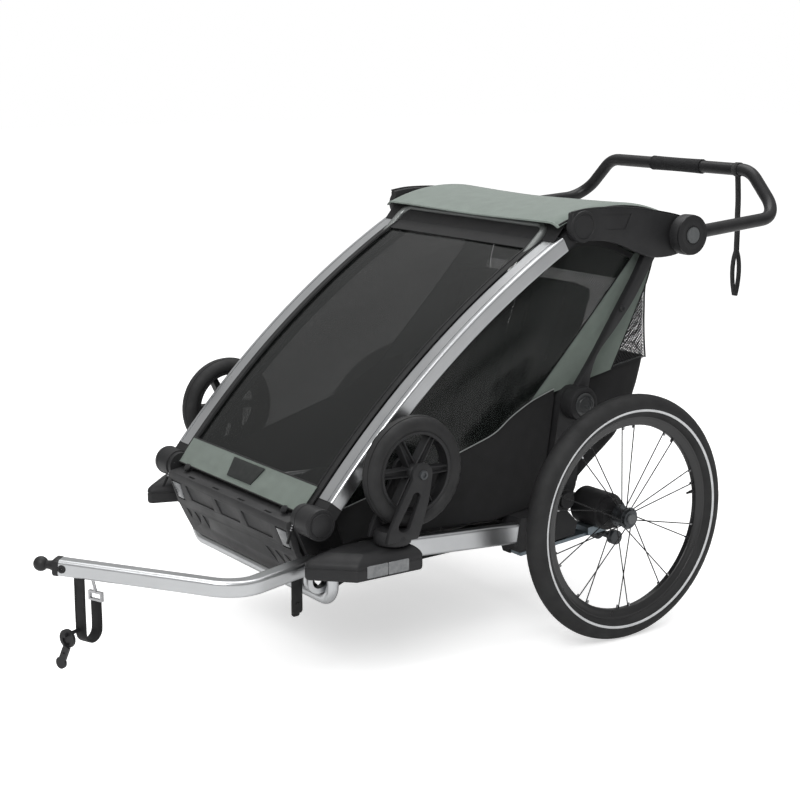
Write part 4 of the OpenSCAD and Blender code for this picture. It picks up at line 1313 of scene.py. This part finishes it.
# %% Knuckle caps and pods
knuckle = turned("knuckle_cap_left", [(0.5, 40), (28.4, 40), (29.5, 41.4), (29.6, 47), (28.2, 49.4), (25, 50),
                                      (24.2, 49.2), (22.6, 49.2), (21.8, 52), (20.4, 53), (0.5, 53.2)],
                 (HALF_W, *FRONT_HINGE), 64)
inner_cap = turned("knuckle_inner", [(13, -0.4), (27.6, -0.4), (29.4, 1.4), (29.4, 4), (13, 4)],
                   (HALF_W, *FRONT_HINGE), 64)
knuckle_left = joined([knuckle, inner_cap], "knuckle_caps_left")
knuckle_right = mirror_copy(knuckle_left, "knuckle_caps_right")
for piece in (knuckle_left, knuckle_right):
    done(piece, shell_plastic, "front_frame", "black_plastic", angle=35)


def round_corners(corners, radius, steps=5):
    """A polygon of (x, y) corners, listed anticlockwise, grown outwards by a radius with round corners."""
    points = []
    for i, c in enumerate(corners):
        a, b = corners[i - 1], corners[(i + 1) % len(corners)]
        a0 = math.atan2(-(c[0] - a[0]), c[1] - a[1])
        a1 = math.atan2(-(b[0] - c[0]), b[1] - c[1])
        a1 += 2 * math.pi * math.ceil((a0 - a1) / (2 * math.pi))
        for s in range(steps + 1):
            a = a0 + (a1 - a0) * s / steps
            points.append((c[0] + radius * math.cos(a), c[1] + radius * math.sin(a)))
    return points


POD_FOOT = [(312, -700), (372, -640), (372, -508), (292, -508), (292, -640)]
POD_TOP = [(318, -668), (362, -620), (362, -520), (302, -520), (302, -620)]


def pod_ring(z, radius, dome=0.0):
    corners = [(p[0] + (q[0] - p[0]) * dome, p[1] + (q[1] - p[1]) * dome) for p, q in zip(POD_FOOT, POD_TOP)]
    return [at(x, y, z) for x, y in round_corners(corners, radius)]


pod_rings = [pod_ring(z, r, d) for z, r, d in (
    (234, 4, 0), (235.4, 7.6, 0), (238, 9.6, 0), (242, 10, 0), (255, 10, 0), (256, 9, 0), (257.6, 9, 0), (258.6, 10, 0),
    (264, 9.8, 0.02), (269, 9, 0.16), (274, 8, 0.45), (278.4, 6.4, 0.8), (281, 4, 1.0), (282, 0.8, 1.0))]
pod = loft("pod_shell", pod_rings)
pocket(pod, lambda c, n: n.x > 0.95 and c.x > 0.381 and 0.240 < c.z < 0.256, 0.4, (-0.5, 0, 0))
foot = turned("pod_foot", [(0.5, 0), (26, 0), (29, 2), (30, 5), (30, 10), (0.5, 10)], (330, -580, 226), 48, (0, 0, 1))
pod_left = joined([pod, foot], "corner_pod_left")
pod_right = mirror_copy(pod_left, "corner_pod_right")
done(pod_left, shell_plastic, "chassis", "black_plastic", ["wing_pods"], angle=35)
done(pod_right, shell_plastic, "chassis", "black_plastic", angle=35)


def pad(name, centre, w, h, t, tilt=0.0, r=3.0):
    """A thin rounded plate that faces +X, w along the trailer and h upright, turned by tilt about X."""
    rings = []
    for x, s in ((0, 0), (t * 0.6, 0), (t, t * 0.5)):
        row = []
        for a, b in rounded(w - 2 * s, h - 2 * s, r - s, 4):
            c, sn = math.cos(math.radians(tilt)), math.sin(math.radians(tilt))
            row.append(at(centre[0] + x, centre[1] + a * c - b * sn, centre[2] + a * sn + b * c))
        rings.append(row)
    return loft(name, rings)


side_reflectors = []
for y in (-601.5, -555.5):
    side_reflectors.append(pad("side_reflector", (381.2, y, 251), 45, 23, 2.4, r=2.4))
reflectors_left = joined(side_reflectors, "pod_reflectors_left")
reflectors_right = mirror_copy(reflectors_left, "pod_reflectors_right")
done(reflectors_left, reflector_plastic, "chassis", "reflector", ["reflectors"])
done(reflectors_right, reflector_plastic, "chassis", "reflector")
print("pods:", len(pod_left.data.polygons), "faces each")

# %% [markdown]
# The front panel is one long moulding. Its section is extruded across the trailer; then slots, deep
# pockets and ribbed corner motifs are cut into it. The two outer pockets hold reflectors.

# %% Front panel
PANEL = [(-652, 318), (-684, 308), (-672, 262), (-640, 196), (-625, 180), (-632, 174), (-648, 188), (-664, 219),
         (-681, 254), (-684, 262), (-700, 308), (-701, 314), (-699, 321), (-652, 328)]
panel = plate("front_panel_moulding", PANEL, -232, 232)


def panel_face(z, out=0.0):
    """A point (y, z) on the panel's outer face, out millimetres in front of it."""
    y = -684 - (z - 262) * 16 / 46 if z > 258 else -681 + (254 - z) * 33 / 66
    return y - out, z


def press_panel(corners, depth):
    """Presses a pocket with the given (x, z) corners into the panel's face."""
    rings = [[at(x, *panel_face(z, out)) for x, z in corners] for out in (8, -depth)]
    cut(panel, loft("pocket_cutter", rings))


for x in (-150, -50, 50, 150):
    cut(panel, plate("slot_cutter", [(-694, 300), (-689, 300), (-689, 340), (-694, 340)], x - 12, x + 12))
for k in (-1, 1):
    press_panel([(k * 186, 304), (k * 228, 304), (k * 222, 264), (k * 192, 264)][::k], 4.5)
    press_panel([(k * 58, 303), (k * 168, 303), (k * 160, 272), (k * 66, 272)][::k], 3)
    for step in range(3):
        x0 = 112 + 34 * step
        press_panel([(k * x0, 244), (k * (x0 + 26), 244), (k * (x0 + 22), 212 + 5 * step)][::k], 2.2)
press_panel([(-46, 302), (46, 302), (38, 272), (-38, 272)][::-1], 3)
bevelled(panel, 1.2, 2, 35)
done(panel, panel_plastic, "chassis", "panel_plastic", ["front_panel"], angle=30)
panel_reflectors = []
for k in (-1, 1):
    corners = [(k * 190, 301), (k * 224, 301), (k * 218.5, 267), (k * 195, 267)][::k]
    panel_reflectors.append(loft("panel_reflector", [[at(x, *panel_face(z, out)) for x, z in corners]
                                                     for out in (-5, 0.8)]))
reflectors_front = joined(panel_reflectors, "front_panel_reflectors")
bevelled(reflectors_front, 0.8, 2, 35)
done(reflectors_front, reflector_plastic, "chassis", "reflector")
print("front panel:", len(panel.data.polygons), "faces")

# %% [markdown]
# At the tip of the arm a ball on a tapered neck leaves a square end cap. A rubber strap hangs from
# the arm with its locking pin, and under the arm's root a latch on a short webbing loop is ready.

# %% Hitch fittings
BALL, ARM_BEND = Vector((80, -1113, 279)), Vector((335, -858, 250))
arm_line = (ARM_BEND - BALL).normalized()
ball_profile = [(13.5 * math.sin(math.radians(a)) + 0.02, -13.5 * math.cos(math.radians(a))) for a in range(2, 147, 9)]
ball_profile += [(7.6, 13), (8, 17), (9.6, 22), (11.6, 24.4), (12.4, 27), (0.4, 27)]
ball = turned("hitch_ball_and_neck", ball_profile, BALL, 48, arm_line)
side_way, up_way = frame_of(arm_line)
cap_rings = []
for s, w in ((25, 24), (26, 29), (28, 31.2), (36, 31.2), (37.2, 30.4)):
    here = BALL + arm_line * s
    cap_rings.append([at(*(here + side_way * a + up_way * b)) for a, b in rounded(w, w, 6.5)])
end_cap = loft("arm_end_cap", cap_rings)
bolt_place = BALL + arm_line * 44
near = Vector((arm_line.y, -arm_line.x, 0)).normalized() * -1
bolt = turned("cap_bolt", [(0.4, 13), (7.4, 13), (7.6, 15.6), (6.6, 16.8), (4, 16.9), (3.6, 15.6), (0.4, 15.6)],
              bolt_place, 28, -near)
hitch_set = joined([ball, end_cap, bolt], "hitch_ball_and_neck")
done(hitch_set, shell_plastic, "chassis", "black_plastic", ["hitch_ball"], angle=35)

STRAP_MIDDLE, STRAP_TURN = (138, -1069), math.radians(22)


def at_strap(x, y, z):
    c, s = math.cos(STRAP_TURN), math.sin(STRAP_TURN)
    return at(STRAP_MIDDLE[0] + x * c - y * s, STRAP_MIDDLE[1] + x * s + y * c, z)


strap_line = [(2, 259), (2, 236), (1.6, 210), (1.8, 184), (2, 158)]
strap_line += [(22 - 20 * math.cos(math.radians(a)), 158 - 20 * math.sin(math.radians(a))) for a in range(15, 180, 15)]
strap_line += [(42, 158), (42.3, 176), (42, 192), (42, 206)]
strap_rings = []
for i, (y, z) in enumerate(strap_line):
    before, after = strap_line[max(i - 1, 0)], strap_line[min(i + 1, len(strap_line) - 1)]
    d = Vector((after[0] - before[0], after[1] - before[1])).normalized()
    strap_rings.append([at_strap(a, y + d.y * b, z - d.x * b) for a, b in rounded(24, 4, 1.2, 3)])
safety_band = loft("safety_strap_band", strap_rings)
ribs = []
for k in (-1, 1):
    rows = [[at_strap(k * 9.4 + a, y + d_y * (2 + b), z - d_z * (2 + b)) for a, b in rounded(2.4, 1.4, 0.5, 1)]
            for (y, z, d_y, d_z) in ((2, 250, -1, 0), (1.6, 210, -1, 0), (2, 166, -1, 0))]
    ribs.append(loft("strap_rib", rows))
safety_strap = joined([safety_band] + ribs, "safety_strap_band")
done(safety_strap, strap_rubber, "chassis", "strap_rubber", ["safety_strap"], angle=40)

latch_parts = [plate("latch_plate", [(-694, 150), (-691, 146), (-675, 146), (-672, 150), (-672, 222), (-675, 226),
                                     (-691, 226), (-694, 222)], 234, 239, 1.0),
               plate("latch_tongue", [(-691, 141), (-688, 138), (-678, 138), (-675, 141), (-675, 170), (-678, 172),
                                      (-688, 172), (-691, 170)], 228, 233.5, 1.2),
               turned("latch_rivet", [(0.3, -7), (3.6, -7), (3.6, 6), (2.6, 7), (0.3, 7)], (234, -683, 164), 20)]
latch = joined(latch_parts, "hitch_latch_strap")
done(latch, strap_rubber, "chassis", "strap_rubber", ["hitch_latch"])

# %% [markdown]
# The two seats are stuffed pads. Each starts as a slightly small closed form, is remeshed to an even
# cloth, and is then blown up by a short cloth simulation. No point may move further than a cap, so
# the pads stay in their room. Sewn channels are pressed in afterwards.

# %% Seat pads
def inflated(name, rings, cap, channels):
    """A stuffed pad from its rings; channels gives how deep a sewn line presses at a point, in mm."""
    piece = loft(name, rings)
    use_modifier(piece, "REMESH", mode="VOXEL", voxel_size=0.006)
    start = [corner.co.copy() for corner in piece.data.vertices]
    cloth_modifier = piece.modifiers.new("Cloth", "CLOTH")
    cloth_modifier.settings.use_pressure = True
    cloth_modifier.settings.uniform_pressure_force = 4
    cloth_modifier.settings.effector_weights.gravity = 0
    cloth_modifier.settings.quality = 4
    for step in range(1, 21):
        bpy.context.scene.frame_set(step)
    deselect()
    piece.select_set(True)
    bpy.context.view_layer.objects.active = piece
    bpy.ops.object.modifier_apply(modifier="Cloth")
    for corner, was in zip(piece.data.vertices, start):
        moved = corner.co - was
        if moved.length > cap / 1000:
            corner.co = was + moved.normalized() * (cap / 1000)
    bpy.context.scene.frame_set(1)
    use_modifier(piece, "SUBSURF", levels=1, render_levels=1)
    normals = [corner.normal.copy() for corner in piece.data.vertices]
    for corner, normal in zip(piece.data.vertices, normals):
        corner.co -= normal * (channels(corner.co) / 1000)
    return piece


def line_press(distance, width, depth):
    """How deep a sewn line presses at a distance from it."""
    return depth * math.exp(-(distance / width) ** 2)


CUSHION = [(-411, 243), (-415, 262), (-404, 276), (-376, 282), (-250, 270), (-134, 259), (-121, 250), (-122, 236),
           (-250, 235), (-396, 235)]
BACK_REST = [(-104, 276), (-90, 274), (-62, 340), (-6, 512), (44, 690), (40, 704), (20, 701), (-34, 515), (-92, 332)]


def pad_rings(outline, x0, x1):
    """Rings of one outline across a seat, a little smaller at the two ends."""
    middle = Vector((sum(p[0] for p in outline), sum(p[1] for p in outline))) / len(outline)
    rings = []
    for share, size in ((0, 0.9), (0.03, 0.97), (0.25, 1), (0.5, 1), (0.75, 1), (0.97, 0.97), (1, 0.9)):
        spots = [middle + (Vector(p) - middle) * size for p in outline]
        rings.append([at(x0 + (x1 - x0) * share, *spot) for spot in spots])
    return rings


def folds_with_seat(piece):
    """The back rests can't follow a joint, so they ride on the base."""
    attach(piece, "chassis")
    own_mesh(piece)


for side, k in (("left", 1), ("right", -1)):
    x0, x1 = sorted((k * 10, k * 218))
    cushion = inflated(f"seat_cushion_{side}", pad_rings(CUSHION, x0, x1), 8, lambda p: max(
        line_press((p.y - AXLE_Y) * 1000 + row, 5, 3) for row in (190, 260, 330)))
    rest = inflated(f"seat_back_{side}", pad_rings(BACK_REST, x0, x1), 8, lambda p: max(
        line_press(p.z * 1000 - row, 5, 3) for row in (350, 430, 510, 590)))
    done(cushion, seat_cloth, "chassis", "seat_fabric", angle=180)
    done(rest, seat_cloth, slot="seat_fabric", angle=180)
    folds_with_seat(rest)

    def rest_front(u, v, k=k, out=9.0):
        spot = along([(-84, 356), (-33, 512), (-4, 604), (22, 692)], v)
        return at(k * (30 + 168 * u), spot.x - out, spot.y + 2)
    insert = sheet(f"seat_back_mesh_{side}", 20, 20, rest_front)
    size_uv(insert, 168, 350)
    use_modifier(insert, "SOLIDIFY", thickness=0.0008, offset=0)
    done(insert, seat_mesh, slot="mesh_fabric", angle=60)
    folds_with_seat(insert)
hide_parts("seat_cushion")
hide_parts("seat_back")
print("seat pads:", len(rest.data.polygons), "faces in a back rest")

# %% [markdown]
# Each seat has a five-point harness: two shoulder straps with padded sleeves, a buckle in the middle
# and a crotch strap that comes up through the cushion.

# %% Harness
HARNESS_LINE = [(4, 700), (-20, 640), (-44, 575), (-72, 490), (-97, 410), (-112, 345)]
webs, sleeves, clips = [], [], []
for seat in (-1, 1):
    for strap in (64, 168):
        inwards = 1 if strap == 64 else -1
        line = [at(seat * (strap + inwards * 26 * (i / 40) ** 2.5), *along(HARNESS_LINE, i / 40)) for i in range(41)]
        facing = Vector((0, -0.93, 0.37))
        webs.append(run("harness_web", line, rounded(25, 1.6, 0.7, 2), facing))
        for part, w, t in ((line[4:20], 42, 9),):
            sleeves.append(run("shoulder_sleeve", [p + facing * 0.002 for p in part], rounded(w, t, 4, 4), facing))
    low = Vector((116, -124, 330))
    rings = []
    for s, size in ((-8, 0.8), (-6, 1), (3, 1), (5.5, 0.86), (6.5, 0.6)):
        rings.append([at(seat * low.x + a * size, low.y - s, low.z + b * size) for a, b in rounded(58, 46, 16, 5)])
    clips.append(loft("harness_buckle", rings))
    clips.append(turned("harness_button", [(0.4, 5), (11, 5), (11, 8), (9.6, 9.4), (0.4, 9.6)],
                        (seat * low.x, low.y, low.z), 28, (0, -1, 0)))
    crotch = [at(seat * low.x, y, z) for y, z in ((-124, 316), (-132, 300), (-146, 286), (-160, 272))]
    webs.append(run("crotch_strap", crotch, rounded(25, 1.8, 0.7, 2), Vector((0, -0.8, 0.6))))
harness_webs = joined(webs, "harness_webbing")
harness_sleeves = joined(sleeves, "harness_sleeves")
harness_clips = joined(clips, "harness_buckles")
done(harness_webs, webbing, slot="webbing", stands_for=["harness"])
done(harness_sleeves, seat_cloth, slot="seat_fabric", angle=50)
done(harness_clips, shell_plastic, slot="black_plastic")
for piece in (harness_webs, harness_sleeves, harness_clips):
    folds_with_seat(piece)
print("harness:", len(harness_webs.data.polygons), "faces of webbing")
